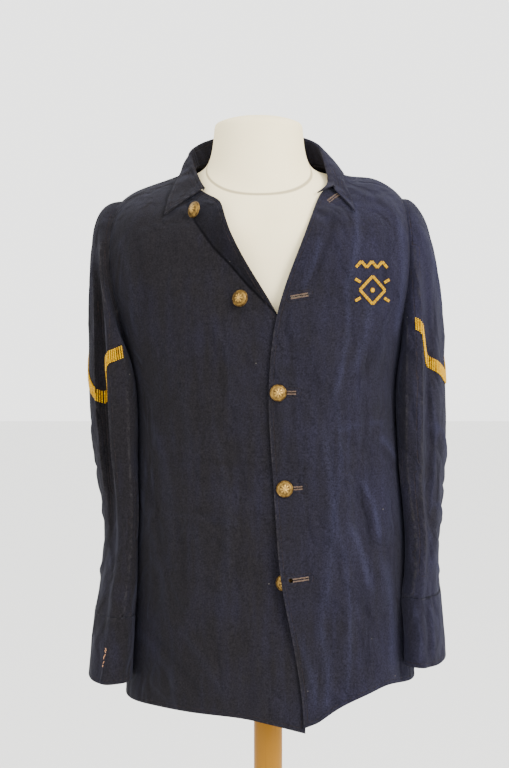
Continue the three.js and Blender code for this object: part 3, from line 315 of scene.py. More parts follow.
def cover_finish():
    """The form's cream cotton: a close plain weave, a few faint marks, and its neck seam."""
    cover = Finish("cream_cotton", Roughness=0.85)
    place, _, y, z = cover.place()
    patches = cover.noise(place, 7.0, 3.0)
    weave = cover.noise(place, 900.0, 1.0)
    colour = cover.mix(patches.rise(0.35, 0.75), CREAM, CREAM_MARKED)
    line = neck_seam_line(y, z)
    seam = abs(line).fall(0.0004, 0.0016)
    colour = cover.mix(seam * 0.75, colour, CREAM_SEAM)
    cover.set("Specular IOR Level", 0.1)
    cover.set("Base Color", colour)
    puckers = abs(line).fall(0.001, 0.006) * cover.noise(place, 220.0, 1.0)
    cover.bump(weave * 0.12 + puckers * 0.5 - seam, 0.0007, 0.6)
    return cover.material


NECK_SEAM = {"front_z": 1.359, "front_y": -0.083, "slope": 0.70}


def neck_seam_line(y, z):
    """The height over the slanting seam round the form's neck."""
    rise = (y - NECK_SEAM["front_y"]) * NECK_SEAM["slope"]
    return z - rise - NECK_SEAM["front_z"]


HONEY_DARK = (0.195, 0.078, 0.002)
HONEY_LIGHT = (0.285, 0.132, 0.006)
HONEY_GRAIN = (0.11, 0.038, 0.004)


def wood_finish():
    """Honey-varnished wood with its grain up the post."""
    wood = Finish("honey_wood", Roughness=0.4, Specular_IOR_Level=0.15)
    place = wood.place()[0]
    long_place = wood.stretched(place, 1.0, 1.0, 0.06)
    drift = wood.noise(long_place, 30.0, 3.0)
    grain = wood.noise(wood.stretched(place, 1.0, 1.0, 0.02), 420.0, 3.0, 0.6)
    colour = wood.mix(drift, HONEY_DARK, HONEY_LIGHT)
    colour = wood.mix(grain.rise(0.52, 0.8) * 0.5, colour, HONEY_GRAIN)
    wood.set("Base Color", colour)
    wood.bump(grain, 0.0002, 0.4)
    return wood.material


def thread_finish(name, light, dark):
    """Twisted sewing thread in two shades of a colour."""
    thread = Finish(name, Roughness=0.7, Sheen_Weight=0.2)
    place = thread.place()[0]
    twist = thread.noise(place, 900.0, 2.0)
    thread.set("Base Color", thread.mix(twist.rise(0.3, 0.7), light, dark))
    thread.bump(twist, 0.0002, 0.6)
    return thread.material


# Making meshes


def deselect():
    if bpy.context.object and bpy.context.object.mode != "OBJECT":
        bpy.ops.object.mode_set(mode="OBJECT")
    bpy.ops.object.select_all(action="DESELECT")


def pick(piece):
    deselect()
    piece.select_set(True)
    bpy.context.view_layer.objects.active = piece


def apply_modifiers(piece):
    pick(piece)
    for modifier in list(piece.modifiers):
        bpy.ops.object.modifier_apply(modifier=modifier.name)


def finish_piece(piece, material, slot, *replaced):
    """Gives a piece its finish, and sets it on the frame in place of the solids it stands for."""
    piece.data.materials.clear()
    piece.data.materials.append(material)
    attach(piece, "root")
    if replaced:
        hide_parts(*replaced)
    return piece


def fine_copy(node, name, levels, crease_angle=50):
    """A finer copy of a solid: its triangles merged to quads and rounded, its rims kept crisp."""
    mesh = nodes[node].data.copy()
    piece = bpy.data.objects.new(name, mesh)
    piece["node"] = node
    bpy.context.scene.collection.objects.link(piece)
    pick(piece)
    bpy.ops.object.mode_set(mode="EDIT")
    bpy.ops.mesh.select_all(action="SELECT")
    bpy.ops.mesh.remove_doubles(threshold=0.000002)
    bpy.ops.mesh.tris_convert_to_quads(face_threshold=math.radians(60), shape_threshold=math.radians(75))
    bpy.ops.object.mode_set(mode="OBJECT")
    crease_rims(piece, crease_angle)
    modifier = piece.modifiers.new("round", "SUBSURF")
    modifier.levels = modifier.render_levels = levels
    apply_modifiers(piece)
    pick(piece)
    bpy.ops.object.shade_smooth_by_angle(angle=math.radians(45))
    return piece


def crease_rims(piece, crease_angle):
    shape = bmesh.new()
    shape.from_mesh(piece.data)
    layer = shape.edges.layers.float.new("crease_edge")
    for edge in shape.edges:
        if len(edge.link_faces) == 2 and edge.calc_face_angle() > math.radians(crease_angle):
            edge[layer] = 1.0
    shape.to_mesh(piece.data)
    shape.free()


def corners_of(mesh):
    places = np.empty(len(mesh.vertices) * 3, dtype=np.float32)
    mesh.vertices.foreach_get("co", places)
    return places.reshape(-1, 3)


def set_corners(mesh, places):
    mesh.vertices.foreach_set("co", places.astype(np.float32).ravel())
    mesh.update()


def normals_of(mesh):
    normals = np.empty(len(mesh.vertices) * 3, dtype=np.float32)
    mesh.vertex_normals.foreach_get("vector", normals)
    return normals.reshape(-1, 3)


def set_attribute(mesh, name, values):
    attribute = mesh.attributes.new(name, "FLOAT", "POINT")
    attribute.data.foreach_set("value", np.asarray(values, dtype=np.float32))


# Cloth

# Main creases in millimetres, each from across1, z1 to across2, z2; across is x on the body's front and
# back. A trough has a negative height.
Crease = namedtuple("Crease", "across1 z1 across2 z2 width height")
FRONT_CREASES = [
    Crease(113, 1352, 100, 1240, 9, 1.2),
    Crease(100, 1240, 84, 1100, 7, 1.1),
    Crease(84, 1100, 84, 950, 7, 0.9),
    Crease(84, 950, 98, 700, 7, 0.9),
    Crease(64, 1300, 44, 1235, 9, 1.4),
    Crease(88, 1350, 50, 1240, 8, -1.2),
    Crease(130, 1225, 108, 1130, 12, 0.9),
    Crease(150, 1200, 118, 1120, 12, -1.1),
    Crease(70, 1060, 66, 800, 12, 1.1),
    Crease(120, 1080, 126, 900, 12, -1),
    Crease(146, 1044, 172, 1010, 8, 1.3),
    Crease(140, 1034, 168, 1000, 8, -1.3),
    Crease(122, 988, 144, 912, 9, 1.7),
    Crease(112, 980, 134, 900, 9, -1.7),
    Crease(106, 930, 128, 850, 10, 1.4),
    Crease(118, 870, 126, 740, 12, -1.2),
    Crease(150, 880, 160, 740, 12, 1.2),
    Crease(66, 800, 72, 690, 12, 1.3),
    Crease(30, 800, 60, 700, 12, 1.3),
    Crease(-104, 1160, -92, 1062, 7, -0.7),
    Crease(-78, 1185, -58, 1085, 7, -0.7),
    Crease(-66, 1185, -48, 1090, 9, 0.6),
    Crease(-118, 1120, -104, 1010, 11, 1),
    Crease(-70, 1060, -62, 820, 11, 1),
    Crease(-44, 1060, -42, 860, 7, -0.7),
    Crease(-150, 1060, -128, 900, 11, 1.3),
    Crease(-168, 1000, -140, 880, 11, -1.3),
    Crease(-160, 930, -136, 800, 11, 1.2),
    Crease(-128, 960, -110, 840, 11, -1),
    Crease(-96, 930, -92, 830, 11, 1),
    Crease(-180, 790, -120, 720, 11, 1.2),
    Crease(-150, 780, -90, 715, 11, -1),
    Crease(-120, 800, -60, 712, 11, 1),
    Crease(-30, 800, -26, 690, 11, -0.8),
    Crease(-190, 938, -30, 934, 10, 0.7),
    Crease(-150, 1010, 4, 1004, 9, -0.6),
    Crease(90, 1056, 150, 1062, 8, 0.8),
    Crease(-196, 1300, -178, 1190, 10, 1.3),
    Crease(-176, 1310, -160, 1200, 11, -1),
    Crease(-168, 1352, -200, 1290, 9, 0.9),
    Crease(172, 1330, 168, 1180, 10, 1.3),
    Crease(152, 1330, 146, 1230, 14, -1.1),
]
BACK_CREASES = [
    Crease(-120, 1320, -60, 1180, 17, 2),
    Crease(-96, 1300, -40, 1150, 17, -1.8),
    Crease(110, 1320, 70, 1170, 17, 2.1),
    Crease(140, 1240, 96, 1080, 17, -1.7),
    Crease(-150, 1200, -110, 1060, 16, 1.7),
    Crease(-80, 1080, -110, 860, 17, 2),
    Crease(-40, 1060, -52, 840, 17, -1.7),
    Crease(44, 1100, 60, 840, 17, 1.8),
    Crease(84, 1040, 112, 820, 17, -2),
    Crease(130, 1000, 150, 760, 17, 2.1),
    Crease(-140, 960, -150, 740, 17, -1.8),
    Crease(-60, 860, -80, 700, 17, -1.8),
    Crease(20, 880, 16, 700, 17, 1.7),
    Crease(-70, 1010, 80, 1022, 11, 0.7),
    Crease(-60, 1392, 50, 1396, 12, -1),
    Crease(110, 1385, 160, 1350, 14, 1.4),
]
# The sleeves' creases as seen from the side, where across is y.
SLEEVE_CREASES = {
    "right": [
        Crease(-60, 1300, -20, 1180, 14, 2.6),
        Crease(-30, 1330, 20, 1210, 15, -2.4),
        Crease(-66, 1080, 10, 1010, 13, 2.8),
        Crease(-60, 1050, 20, 975, 11, -2.8),
        Crease(40, 1060, -20, 960, 14, 2.6),
        Crease(-70, 965, 0, 925, 10, 2.6),
        Crease(-80, 930, -10, 890, 10, -2.6),
        Crease(-84, 880, -20, 850, 12, 2.2),
        Crease(10, 900, -40, 820, 14, -2.0),
        Crease(50, 1240, 44, 1080, 16, 2.2),
    ],
    "left": [
        Crease(-50, 1290, -10, 1160, 14, 2.6),
        Crease(-10, 1320, 30, 1190, 15, -2.4),
        Crease(-70, 1060, 0, 1000, 12, 2.8),
        Crease(-64, 1030, 10, 960, 11, -2.8),
        Crease(46, 1050, -10, 950, 14, 2.4),
        Crease(-76, 955, -10, 915, 10, 2.8),
        Crease(-80, 925, -16, 880, 10, -2.6),
        Crease(-90, 880, -30, 850, 12, 2.2),
        Crease(0, 910, -46, 830, 13, -2.2),
        Crease(54, 1230, 46, 1070, 16, 2.2),
    ],
}
# The sleeves' creases as seen from the front, where across is x.
SLEEVE_FRONT_CREASES = {
    "right": [
        Crease(-190, 1120, -192, 900, 8, 2.2),
        Crease(-203, 1060, -205, 860, 7, -1.8),
        Crease(-234, 1070, -222, 900, 7, 1.6),
        Crease(-214, 900, -212, 815, 7, 1.6),
        Crease(-232, 800, -224, 724, 9, -1.4),
        Crease(-204, 800, -206, 724, 8, 1.4),
        Crease(-214, 1300, -204, 1180, 8, -2.0),
    ],
    "left": [
        Crease(190, 1130, 192, 940, 7, 2.2),
        Crease(214, 1120, 212, 930, 7, 1.8),
        Crease(226, 1110, 222, 950, 8, -1.8),
        Crease(196, 945, 214, 905, 6, 2.6),
        Crease(200, 920, 216, 880, 6, -2.6),
        Crease(204, 880, 206, 835, 6, 2.0),
        Crease(192, 828, 196, 745, 7, 1.8),
        Crease(212, 828, 214, 745, 7, 1.8),
        Crease(204, 826, 205, 745, 7, -1.8),
        Crease(226, 1290, 214, 1160, 8, -2.2),
    ],
}


CREASE_BOW = 0.05  # how far a crease bows sideways, as a share of its length
CREASE_END = 0.25  # the share of its length over which a crease fades out at each end


def crease_sum(across, up, creases):
    """The height, in millimetres, of all creases at points given in millimetres."""
    height = np.zeros(len(across))
    for crease in creases:
        start = np.array([crease.across1, crease.z1], dtype=float)
        run = np.array([crease.across2, crease.z2], dtype=float) - start
        length = np.hypot(*run)
        way = run / length
        gone = (across - start[0]) * way[0] + (up - start[1]) * way[1]
        bow = length * CREASE_BOW * np.sin(np.pi * np.clip(gone / length, 0, 1))
        off = (across - start[0]) * way[1] - (up - start[1]) * way[0] + bow
        share = gone / length
        fade = smooth_step(share / CREASE_END + 0.5) * smooth_step((1 - share) / CREASE_END + 0.5)
        reach = np.abs(off / crease.width)
        height += crease.height * fade * np.clip(1 - reach, 0, 1) ** 1.6
    return height


def smooth_step(values):
    clipped = np.clip(values, 0, 1)
    return clipped * clipped * (3 - 2 * clipped)


# Slow, shallow waves that keep a panel from looking machined: wave lengths in millimetres, and a shift.
WAVES = [
    {"across": 131, "up": 310, "shift": 0.6, "height": 0.55},
    {"across": 74, "up": 190, "shift": 2.1, "height": 0.35},
    {"across": 47, "up": 83, "shift": 4.4, "height": 0.22},
    {"across": 29, "up": 61, "shift": 1.3, "height": 0.12},
]


def wave_sum(across, up):
    """The height, in millimetres, of the slow waves at points given in millimetres."""
    total = np.zeros(len(across))
    for wave in WAVES:
        phase = across / wave["across"] + 0.35 * np.sin(up / wave["up"] * math.tau + wave["shift"])
        total += wave["height"] * np.sin(math.tau * phase + wave["shift"]) * np.cos(up / wave["up"] * 3.1)
    return total


def near_buttons(across, up):
    """1 right at a button of the front, and 0 from a little way off, with places in millimetres."""
    near = np.zeros(len(across))
    for node in FRONT_BUTTONS:
        low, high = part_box(node)
        middle = [(a + b) / 2 / MM for a, b in zip(low, high)]
        away = np.hypot(across - middle[0], up - middle[2])
        near = np.maximum(near, 1 - smooth_step((away - 9) / 14))
    return near


# A ridge's painted highlight and a trough's painted shade reach full strength at these crease heights.
RIDGE_FULL = {"front": 2.0, "back": 4.5, "sleeve": 5}  # crease height that shows a ridge's whole colour


def crease_panel(piece, creases, facing):
    """Creases a panel of the body; facing is -1 for the front and 1 for the back."""
    mesh = piece.data
    places = corners_of(mesh)
    squareness = smooth_step(np.abs(normals_of(mesh)[:, 1]) * 1.3) * rim_fade(piece)
    across, up = places[:, 0] / MM, places[:, 2] / MM
    height = crease_sum(across, up, creases) * squareness
    shift = height + wave_sum(across, up) * squareness
    if facing < 0:
        shift *= 1 - near_buttons(across, up)
        shift += mark_strip(mesh, across, up) * squareness
    places[:, 1] += facing * shift * MM
    set_corners(mesh, places)
    full = RIDGE_FULL["front" if facing < 0 else "back"]
    # The crease height, which the shader turns into painted highlights on ridges and painted shade in
    # troughs.
    set_attribute(mesh, "ridge", np.clip(height / full, -1, 1))


# The crease beside the turned strip of the right front, from the neck down, as seen from the front.
STRIP_CREASE = [
    {"x": -107, "z": 1347},
    {"x": -96, "z": 1324},
    {"x": -72, "z": 1290},
    {"x": -49, "z": 1266},
    {"x": -25, "z": 1238},
    {"x": 11, "z": 1203},
]
STRIP_WIDTH = 44
# The strip's painted shade and the painted shadow line along its crease fade out at this height.
STRIP_FOOT = 1188  # the strip and its fold line fade out at this height


def mark_strip(mesh, across, up):
    """Paints shade on the strip beside the right front's crease and a shadow line along the crease, and
    returns the crease's own trough.
    """
    if mesh.name.startswith("front_left"):
        return np.zeros(len(across))
    nearest = np.full(len(across), 1e6)
    side = np.zeros(len(across))
    for a, b in zip(STRIP_CREASE, STRIP_CREASE[1:]):
        run = np.array([b["x"] - a["x"], b["z"] - a["z"]], dtype=float)
        share = ((across - a["x"]) * run[0] + (up - a["z"]) * run[1]) / (run @ run)
        share = np.clip(share, 0, 1)
        off_x = across - a["x"] - share * run[0]
        off_z = up - a["z"] - share * run[1]
        away = np.hypot(off_x, off_z)
        closer = away < nearest
        nearest = np.where(closer, away, nearest)
        side = np.where(closer, np.sign(off_x * -run[1] + off_z * run[0]), side)
    # A painted shadow line along the crease.
    set_attribute(mesh, "fold_line", np.where(up > STRIP_FOOT, np.clip(1 - nearest / 4.5, 0, 1), 0))
    # Painted shade on the strip beside the crease.
    inside = (side > 0) & (nearest < STRIP_WIDTH)
    shade = smooth_step(nearest / 5) * smooth_step((up - STRIP_FOOT - 7) / 25)
    set_attribute(mesh, "strip", np.where(inside, shade, 0))
    return -2.2 * np.clip(1 - nearest / 5, 0, 1)


SLEEVE_HUG = 3.0  # how far, in millimetres, a sleeve's inner front leans on over the body's side
SLEEVE_OUTSIDE = 205  # from the stand's axis to where a sleeve's outer creases begin, in millimetres


def crease_sleeve(piece, side, outer_creases, front_creases):
    """Creases a sleeve piece as seen from its outer side and from the front; side is -1 or 1."""
    mesh = piece.data
    places = corners_of(mesh)
    normals = normals_of(mesh)
    calm = rim_fade(piece)
    across, deep, up = (places[:, i] / MM for i in range(3))
    sideways, forwards = (smooth_step(np.abs(normals[:, i]) * 1.2) for i in range(2))
    outer = smooth_step((side * across - SLEEVE_OUTSIDE) / 20) * sideways * calm
    outer_height = crease_sum(deep, up, outer_creases) * outer
    wave = wave_sum(deep, up) * sideways * calm
    front = smooth_step((-30 - deep) / 20) * forwards * calm
    front_height = crease_sum(across, up, front_creases) * front
    hug = smooth_step((204 - side * across) / 14) * smooth_step((-34 - deep) / 18) * SLEEVE_HUG
    places[:, 0] += side * (outer_height + wave - hug) * MM
    places[:, 1] -= front_height * MM
    set_corners(mesh, places)
    height = outer_height + front_height
    # The crease height, which the shader turns into painted highlights on ridges and painted shade in
    # troughs.
    set_attribute(mesh, "ridge", np.clip(height / RIDGE_FULL["sleeve"], -1, 1))


RIM_ANGLE = 40  # degrees between the faces that meet at a rim
RIM_FADE = 0.02  # creases reach their full height this far from a rim


def rim_distances(piece):
    """The corners on a panel's rim, and how far each of its corners lies from that rim."""
    shape = bmesh.new()
    shape.from_mesh(piece.data)
    rim = set()
    for edge in shape.edges:
        if len(edge.link_faces) == 2 and edge.calc_face_angle() > math.radians(RIM_ANGLE):
            rim.update(vertex.index for vertex in edge.verts)
    shape.free()
    vertices = piece.data.vertices
    tree = tree_of([vertices[index].co for index in rim])
    return rim, np.array([tree.find(vertex.co)[2] for vertex in vertices])


def rim_fade(piece):
    """Marks how far each corner lies from the rim and from its free parts, and which rim corners are sewn.

    Returns a fade that calms the creases near the rim.
    """
    rim, distances = rim_distances(piece)
    set_attribute(piece.data, "edge", distances)
    others = [surface_of(nodes[node]) for node in CLOTH_NODES if node != piece["node"]]
    vertices = piece.data.vertices
    free = {
        index
        for index in rim
        if all(other.find_nearest(vertices[index].co, SEAM_REACH)[0] is None for other in others)
    }
    set_attribute(piece.data, "sewn", np.isin(np.arange(len(distances)), list(rim - free)))
    tree = tree_of([vertices[index].co for index in free])
    set_attribute(piece.data, "free_edge", [tree.find(vertex.co)[2] for vertex in vertices])
    return 0.15 + 0.85 * smooth_step(distances / RIM_FADE)


SEAM_REACH = 1.2 * MM  # rims closer than this to another cloth solid are sewn to it
SEAM_GAP_MOST = 5 * MM  # the widest gap that creasing leaves at a seam
CLOTH_NODES = ["front_right", "front_left", "back_right", "back_left", "collar", "cuff_right", "cuff_left"]
CLOTH_NODES += ["sleeve_" + side + part for side in ("right", "left") for part in ("_top", "_under")]


SEAM_DRAW = 0.56  # the share of its gap that each side of a seam is drawn across


def close_seams(coat):
    """Draws the sewn rims of the pieces together, a little more than half the way each."""
    surfaces = {name: surface_of(piece) for name, piece in coat.items()}
    for name, piece in coat.items():
        others = [surface for other, surface in surfaces.items() if other != name]
        sewn = piece.data.attributes["sewn"].data
        for vertex in piece.data.vertices:
            if sewn[vertex.index].value > 0.5:
                near = [surface.find_nearest(vertex.co, SEAM_GAP_MOST) for surface in others]
                near = [found for found in near if found[0] is not None]
                if near:
                    target = min(near, key=lambda found: found[3])[0]
                    vertex.co += (target - vertex.co) * SEAM_DRAW
        piece.data.update()


def surface_of(piece):
    """The faces of a piece, ready for finding the nearest one to a place."""
    places = [vertex.co for vertex in piece.data.vertices]
    return BVHTree.FromPolygons(places, [tuple(face.vertices) for face in piece.data.polygons])


def tree_of(places):
    tree = KDTree(len(places))
    for index, place in enumerate(places):
        tree.insert(place, index)
    tree.balance()
    return tree


def map_cloth(piece, axis):
    """Lays the cloth's own map on a piece: the way round an upright axis, and the height."""
    middle, radius = axis["middle"], axis["radius"]
    mesh = piece.data
    layer = mesh.uv_layers.new(name="cloth")
    places = corners_of(mesh)
    angles = np.arctan2(places[:, 0] - middle[0], middle[1] - places[:, 1])
    loops = np.empty(len(mesh.loops), dtype=np.int32)
    mesh.loops.foreach_get("vertex_index", loops)
    starts = np.empty(len(mesh.polygons), dtype=np.int32)
    mesh.polygons.foreach_get("loop_start", starts)
    totals = np.empty(len(mesh.polygons), dtype=np.int32)
    mesh.polygons.foreach_get("loop_total", totals)
    turn = angles[loops]
    first = np.repeat(turn[starts], totals)
    turn = first + (turn - first + math.pi) % math.tau - math.pi
    map_places = np.stack([turn * radius, places[loops, 2]], axis=1)
    layer.data.foreach_set("uv", map_places.astype(np.float32).ravel())


# The cloth pieces: the flat size of each cut, its area, and how often its solid's faces are halved.
PANELS = {
    "front_right": {"flat": (0.345, 0.76), "area": 0.203, "levels": 3},
    "front_left": {"flat": (0.275, 0.755), "area": 0.163, "levels": 3},
    "back_right": {"flat": (0.25, 0.79), "area": 0.170, "levels": 3},
    "back_left": {"flat": (0.255, 0.785), "area": 0.170, "levels": 3},
}
SLEEVES = {
    "sleeve_right_top": {"flat": (0.245, 0.56), "area": 0.108, "side": -1, "levels": 3},
    "sleeve_right_under": {"flat": (0.17, 0.40), "area": 0.055, "side": -1, "levels": 2},
    "cuff_right": {"flat": (0.30, 0.087), "area": 0.0246, "side": -1, "levels": 3},
    "sleeve_left_top": {"flat": (0.245, 0.54), "area": 0.104, "side": 1, "levels": 3},
    "sleeve_left_under": {"flat": (0.17, 0.38), "area": 0.052, "side": 1, "levels": 2},
    "cuff_left": {"flat": (0.295, 0.09), "area": 0.025, "side": 1, "levels": 3},
}
# The upright axes that the cloth's map goes round, and how far from each the cloth lies.
BODY_AXIS = {"middle": (0, 0), "radius": 0.17}
SLEEVE_AXES = {-1: {"middle": (-0.213, -0.02), "radius": 0.06}, 1: {"middle": (0.213, -0.02), "radius": 0.06}}
COLLAR_AXIS = {"middle": (-0.0135, 0.0), "radius": 0.09}
COLLAR_LIFT = {"depth": 2.2 * MM, "reach": 0.026}


def lift_collar(collar):
    """Lets the tips and the outer edge of the fall stand off the fronts, unevenly."""
    mesh = collar.data
    places = corners_of(mesh)
    free = np.empty(len(places), dtype=np.float32)
    mesh.attributes["free_edge"].data.foreach_get("value", free)
    loose = 1 - smooth_step(free / COLLAR_LIFT["reach"])
    front = smooth_step((-0.035 - places[:, 1]) / 0.02)
    uneven = 0.75 + 0.35 * np.sin(places[:, 0] * 260 + places[:, 2] * 170)
    places[:, 1] -= COLLAR_LIFT["depth"] * loose * front * uneven
    set_corners(mesh, places)


def make_coat(wool):
    """The coat's cloth pieces by the names of their solids."""
    made = {}
    for node, panel in PANELS.items():
        piece = fine_copy(node, node + "_cloth", panel["levels"])
        behind = node.startswith("back")
        crease_panel(piece, BACK_CREASES if behind else FRONT_CREASES, 1 if behind else -1)
        map_cloth(piece, BODY_AXIS)
        made[node] = finish_piece(piece, wool, "wool", node)
    for node, panel in SLEEVES.items():
        piece = fine_copy(node, node + "_cloth", panel["levels"])
        side = "right" if panel["side"] < 0 else "left"
        crease_sleeve(piece, panel["side"], SLEEVE_CREASES[side], SLEEVE_FRONT_CREASES[side])
        map_cloth(piece, SLEEVE_AXES[panel["side"]])
        made[node] = finish_piece(piece, wool, "wool", node)
        rests_on = ["front_" + side + "_cloth"]
    collar = fine_copy("collar", "collar_cloth", 3)
    rim_fade(collar)
    lift_collar(collar)
    set_attribute(collar.data, "ridge", np.zeros(len(collar.data.vertices)))
    map_cloth(collar, COLLAR_AXIS)
    made["collar"] = finish_piece(collar, wool, "wool", "collar")
    close_seams(made)
    return made


# Form and stand


def make_stand(cover, wood):
    form = fine_copy("dress_form", "dress_form_cover", 2, crease_angle=60)
    finish_piece(form, cover, "cover", "dress_form")
    post = fine_copy("stand_post", "stand_post_wood", 2, crease_angle=60)
    finish_piece(post, wood, "wood", "stand_post")
    base = fine_copy("stand_base", "stand_base_wood", 2, crease_angle=25)
    finish_piece(base, wood, "wood", "stand_base")


# Buttons
BUTTON_SEGMENTS = 64
BUTTON_RINGS = [  # each ring inwards from the rim: how far in, and how far up, as shares of the radius
    {"inset": 0.05, "rise": 0.075},
    {"inset": 0.06, "rise": 0.02},
    {"inset": 0.04, "rise": -0.03},
    {"inset": 0.06, "rise": 0.06},
    {"inset": 0.09, "rise": 0.075},
    {"inset": 0.10, "rise": 0.06},
    {"inset": 0.11, "rise": 0.045},
    {"inset": 0.12, "rise": 0.03},
    {"inset": 0.12, "rise": 0.02},
    {"inset": 0.10, "rise": 0.005},
]
FRONT_BUTTONS = ["button_1", "button_2", "button_3", "button_4", "button_5"]
BUTTON_RADIUS = 11 * MM
CUFF_BUTTON_RADIUS = 7.5 * MM
SHANK_RADIUS = 1.76 * MM
RIM_SHARE = 0.09  # the height of a button's widest ring over its back, as a share of its radius
FLOWER_REACH = 0.62  # the rosette's radius, as a share of the button's


def button_model(radius):
    """A domed button on the origin, back down at height 0, with a rosette in low relief."""
    deselect()
    depth = radius * RIM_SHARE
    place = (0, 0, depth / 2)
    bpy.ops.mesh.primitive_cylinder_add(vertices=BUTTON_SEGMENTS, radius=radius, depth=depth, location=place)
    button = bpy.context.object
    bpy.ops.object.transform_apply(location=True, rotation=False, scale=False)
    bpy.ops.object.mode_set(mode="EDIT")
    select_cap(button, depth)
    for ring in BUTTON_RINGS:
        bpy.ops.mesh.inset(thickness=ring["inset"] * radius, depth=ring["rise"] * radius)
    bpy.ops.mesh.poke()
    bpy.ops.object.mode_set(mode="OBJECT")
    mesh = button.data
    places = corners_of(mesh)
    out = np.hypot(places[:, 0], places[:, 1]) / radius
    turn = np.arctan2(places[:, 1], places[:, 0])
    petals = 0.5 + 0.5 * np.cos(turn * 8)
    swell = np.sin(np.pi * np.clip(out / FLOWER_REACH, 0, 1)) ** 1.2
    flower = np.where(out < FLOWER_REACH, swell * petals, 0)
    pearls = np.where((out > 0.66) & (out < 0.86), 0.5 + 0.5 * np.cos(turn * 32), 0)
    centre = np.where(out < 0.15, 1.0, 0)
    dome = places[:, 2] > depth * 0.9
    relief = np.where(dome, flower + pearls * 0.6 + centre, 0.4)
    places[:, 2] += np.where(dome, relief * radius * 0.035, 0)
    set_corners(mesh, places)
    set_attribute(mesh, "relief", np.clip(relief, 0, 1))
    return button


def select_cap(piece, height):
    """Selects the one upward face at a height."""
    bpy.ops.mesh.select_mode(type="FACE")
    bpy.ops.mesh.select_all(action="DESELECT")
    shape = bmesh.from_edit_mesh(piece.data)
    for face in shape.faces:
        face.select = face.normal.z > 0.9 and abs(face.calc_center_median().z - height) < 1e-5
    bmesh.update_edit_mesh(piece.data)


def button_stance(node, radius):
    """The way of a button's axis, its middle, and the heights along the axis of its corners and its rim.

    A round thing spreads alike both ways across its axis, and otherwise along it.
    """
    places = corners_of(nodes[node].data)
    spread = places - places.mean(axis=0)
    sizes, ways = np.linalg.eigh(spread.T @ spread)
    way = ways[:, 0] if sizes[2] - sizes[1] < sizes[1] - sizes[0] else ways[:, 2]
    heights = places @ way
    across = places - np.outer(heights, way)
    centre = across.mean(axis=0)
    rim = np.linalg.norm(across - centre, axis=1) > radius * 0.97
    return way, centre, heights, np.median(heights[rim])


def make_buttons(brass):
    for node in FRONT_BUTTONS + ["cuff_button_left"]:
        radius = CUFF_BUTTON_RADIUS if node.startswith("cuff") else BUTTON_RADIUS
        model = button_model(radius)
        outward = Vector((1, 0, 0)) if node.startswith("cuff") else Vector((0, -1, 0))
        way, centre, heights, rim_height = button_stance(node, radius)
        way = Vector(way)
        if way.dot(outward) < 0:
            way, heights, rim_height = -way, -heights, -rim_height
        back = Vector(centre) + way * (rim_height - radius * RIM_SHARE)
        foot = Vector(centre) + way * heights.min()
        turn = way.to_track_quat("Z", "Y").to_matrix().to_4x4()
        model.data.transform(Matrix.Translation(back) @ turn)
        model.name = node + "_brass"
        shank = tube_between(foot, back + way * radius * 0.05, SHANK_RADIUS, 12)
        set_attribute(shank.data, "relief", np.zeros(len(shank.data.vertices)))
        pick(model)
        shank.select_set(True)
        bpy.ops.object.join()
        bpy.ops.object.shade_smooth_by_angle(angle=math.radians(35))
        finish_piece(model, brass, "brass", node)


def tube_between(start, end, radius, segments):
    """A closed round rod between two points."""
    deselect()
    way = end - start
    bpy.ops.mesh.primitive_cylinder_add(vertices=segments, radius=radius, depth=way.length)
    rod = bpy.context.object
    turn = way.to_track_quat("Z", "Y").to_matrix().to_4x4()
    rod.data.transform(Matrix.Translation((start + end) / 2) @ turn)
    return rod


# Beads
BEAD_RADIUS = 1.2 * MM
LANE_PITCH = 3.3 * MM
BEADS_IN_LANE = 8
TINT_MIDDLE = 0.55
LANE_TINT = 0.22  # how far a lane's tint may lie from the middle
BEAD_TINT = 0.12  # and how much the beads in it scatter about that


def bead_model():
    """One bead on the origin, with the way of its hole along Z."""
    deselect()
    bpy.ops.mesh.primitive_uv_sphere_add(segments=8, ring_count=5, radius=BEAD_RADIUS)
    bead = bpy.context.object
    bead.data.transform(Matrix.Diagonal((1.0, 1.0, 0.9, 1.0)))
    return bead


def bead_field(name, stands, material, slot, *replaced):
    """One piece of many beads; each stand is a bead's place, its hole's way, its size and its lane."""
    model = bead_model()
    corners = corners_of(model.data)
    faces = [tuple(face.vertices) for face in model.data.polygons]
    bpy.data.objects.remove(model)
    places, polygons, tints = [], [], []
    random = np.random.default_rng(11)
    for place, way, size, lane in stands:
        turn = np.array(Vector(way).to_track_quat("Z", "Y").to_matrix())
        start = len(places) * len(corners)
        places.append(corners @ turn.T * size * random.uniform(0.93, 1.05) + np.array(place))
        polygons.extend(tuple(start + corner for corner in face) for face in faces)
        tint = TINT_MIDDLE + LANE_TINT * math.sin(lane * 2.4) + random.normal(0, BEAD_TINT)
        tints.append(np.full(len(corners), np.clip(tint, 0, 1)))
    mesh = bpy.data.meshes.new(name)
    mesh.from_pydata(np.concatenate(places).tolist(), [], polygons)
    piece = bpy.data.objects.new(name, mesh)
    bpy.context.scene.collection.objects.link(piece)
    set_attribute(mesh, "tint", np.concatenate(tints))
    pick(piece)
    bpy.ops.object.shade_smooth()
    return finish_piece(piece, material, slot, *replaced)


BAND_THICKNESS = 2.2 * MM


def joined_faces(faces):
    """Sorts faces into groups that hang together."""
    groups, left = [], set(faces)
    while left:
        group, queue = set(), [left.pop()]
        while queue:
            face = queue.pop()
            group.add(face)
            near = {other for edge in face.edges for other in edge.link_faces} & left
            left -= near
            queue.extend(near)
        groups.append(group)
    return groups


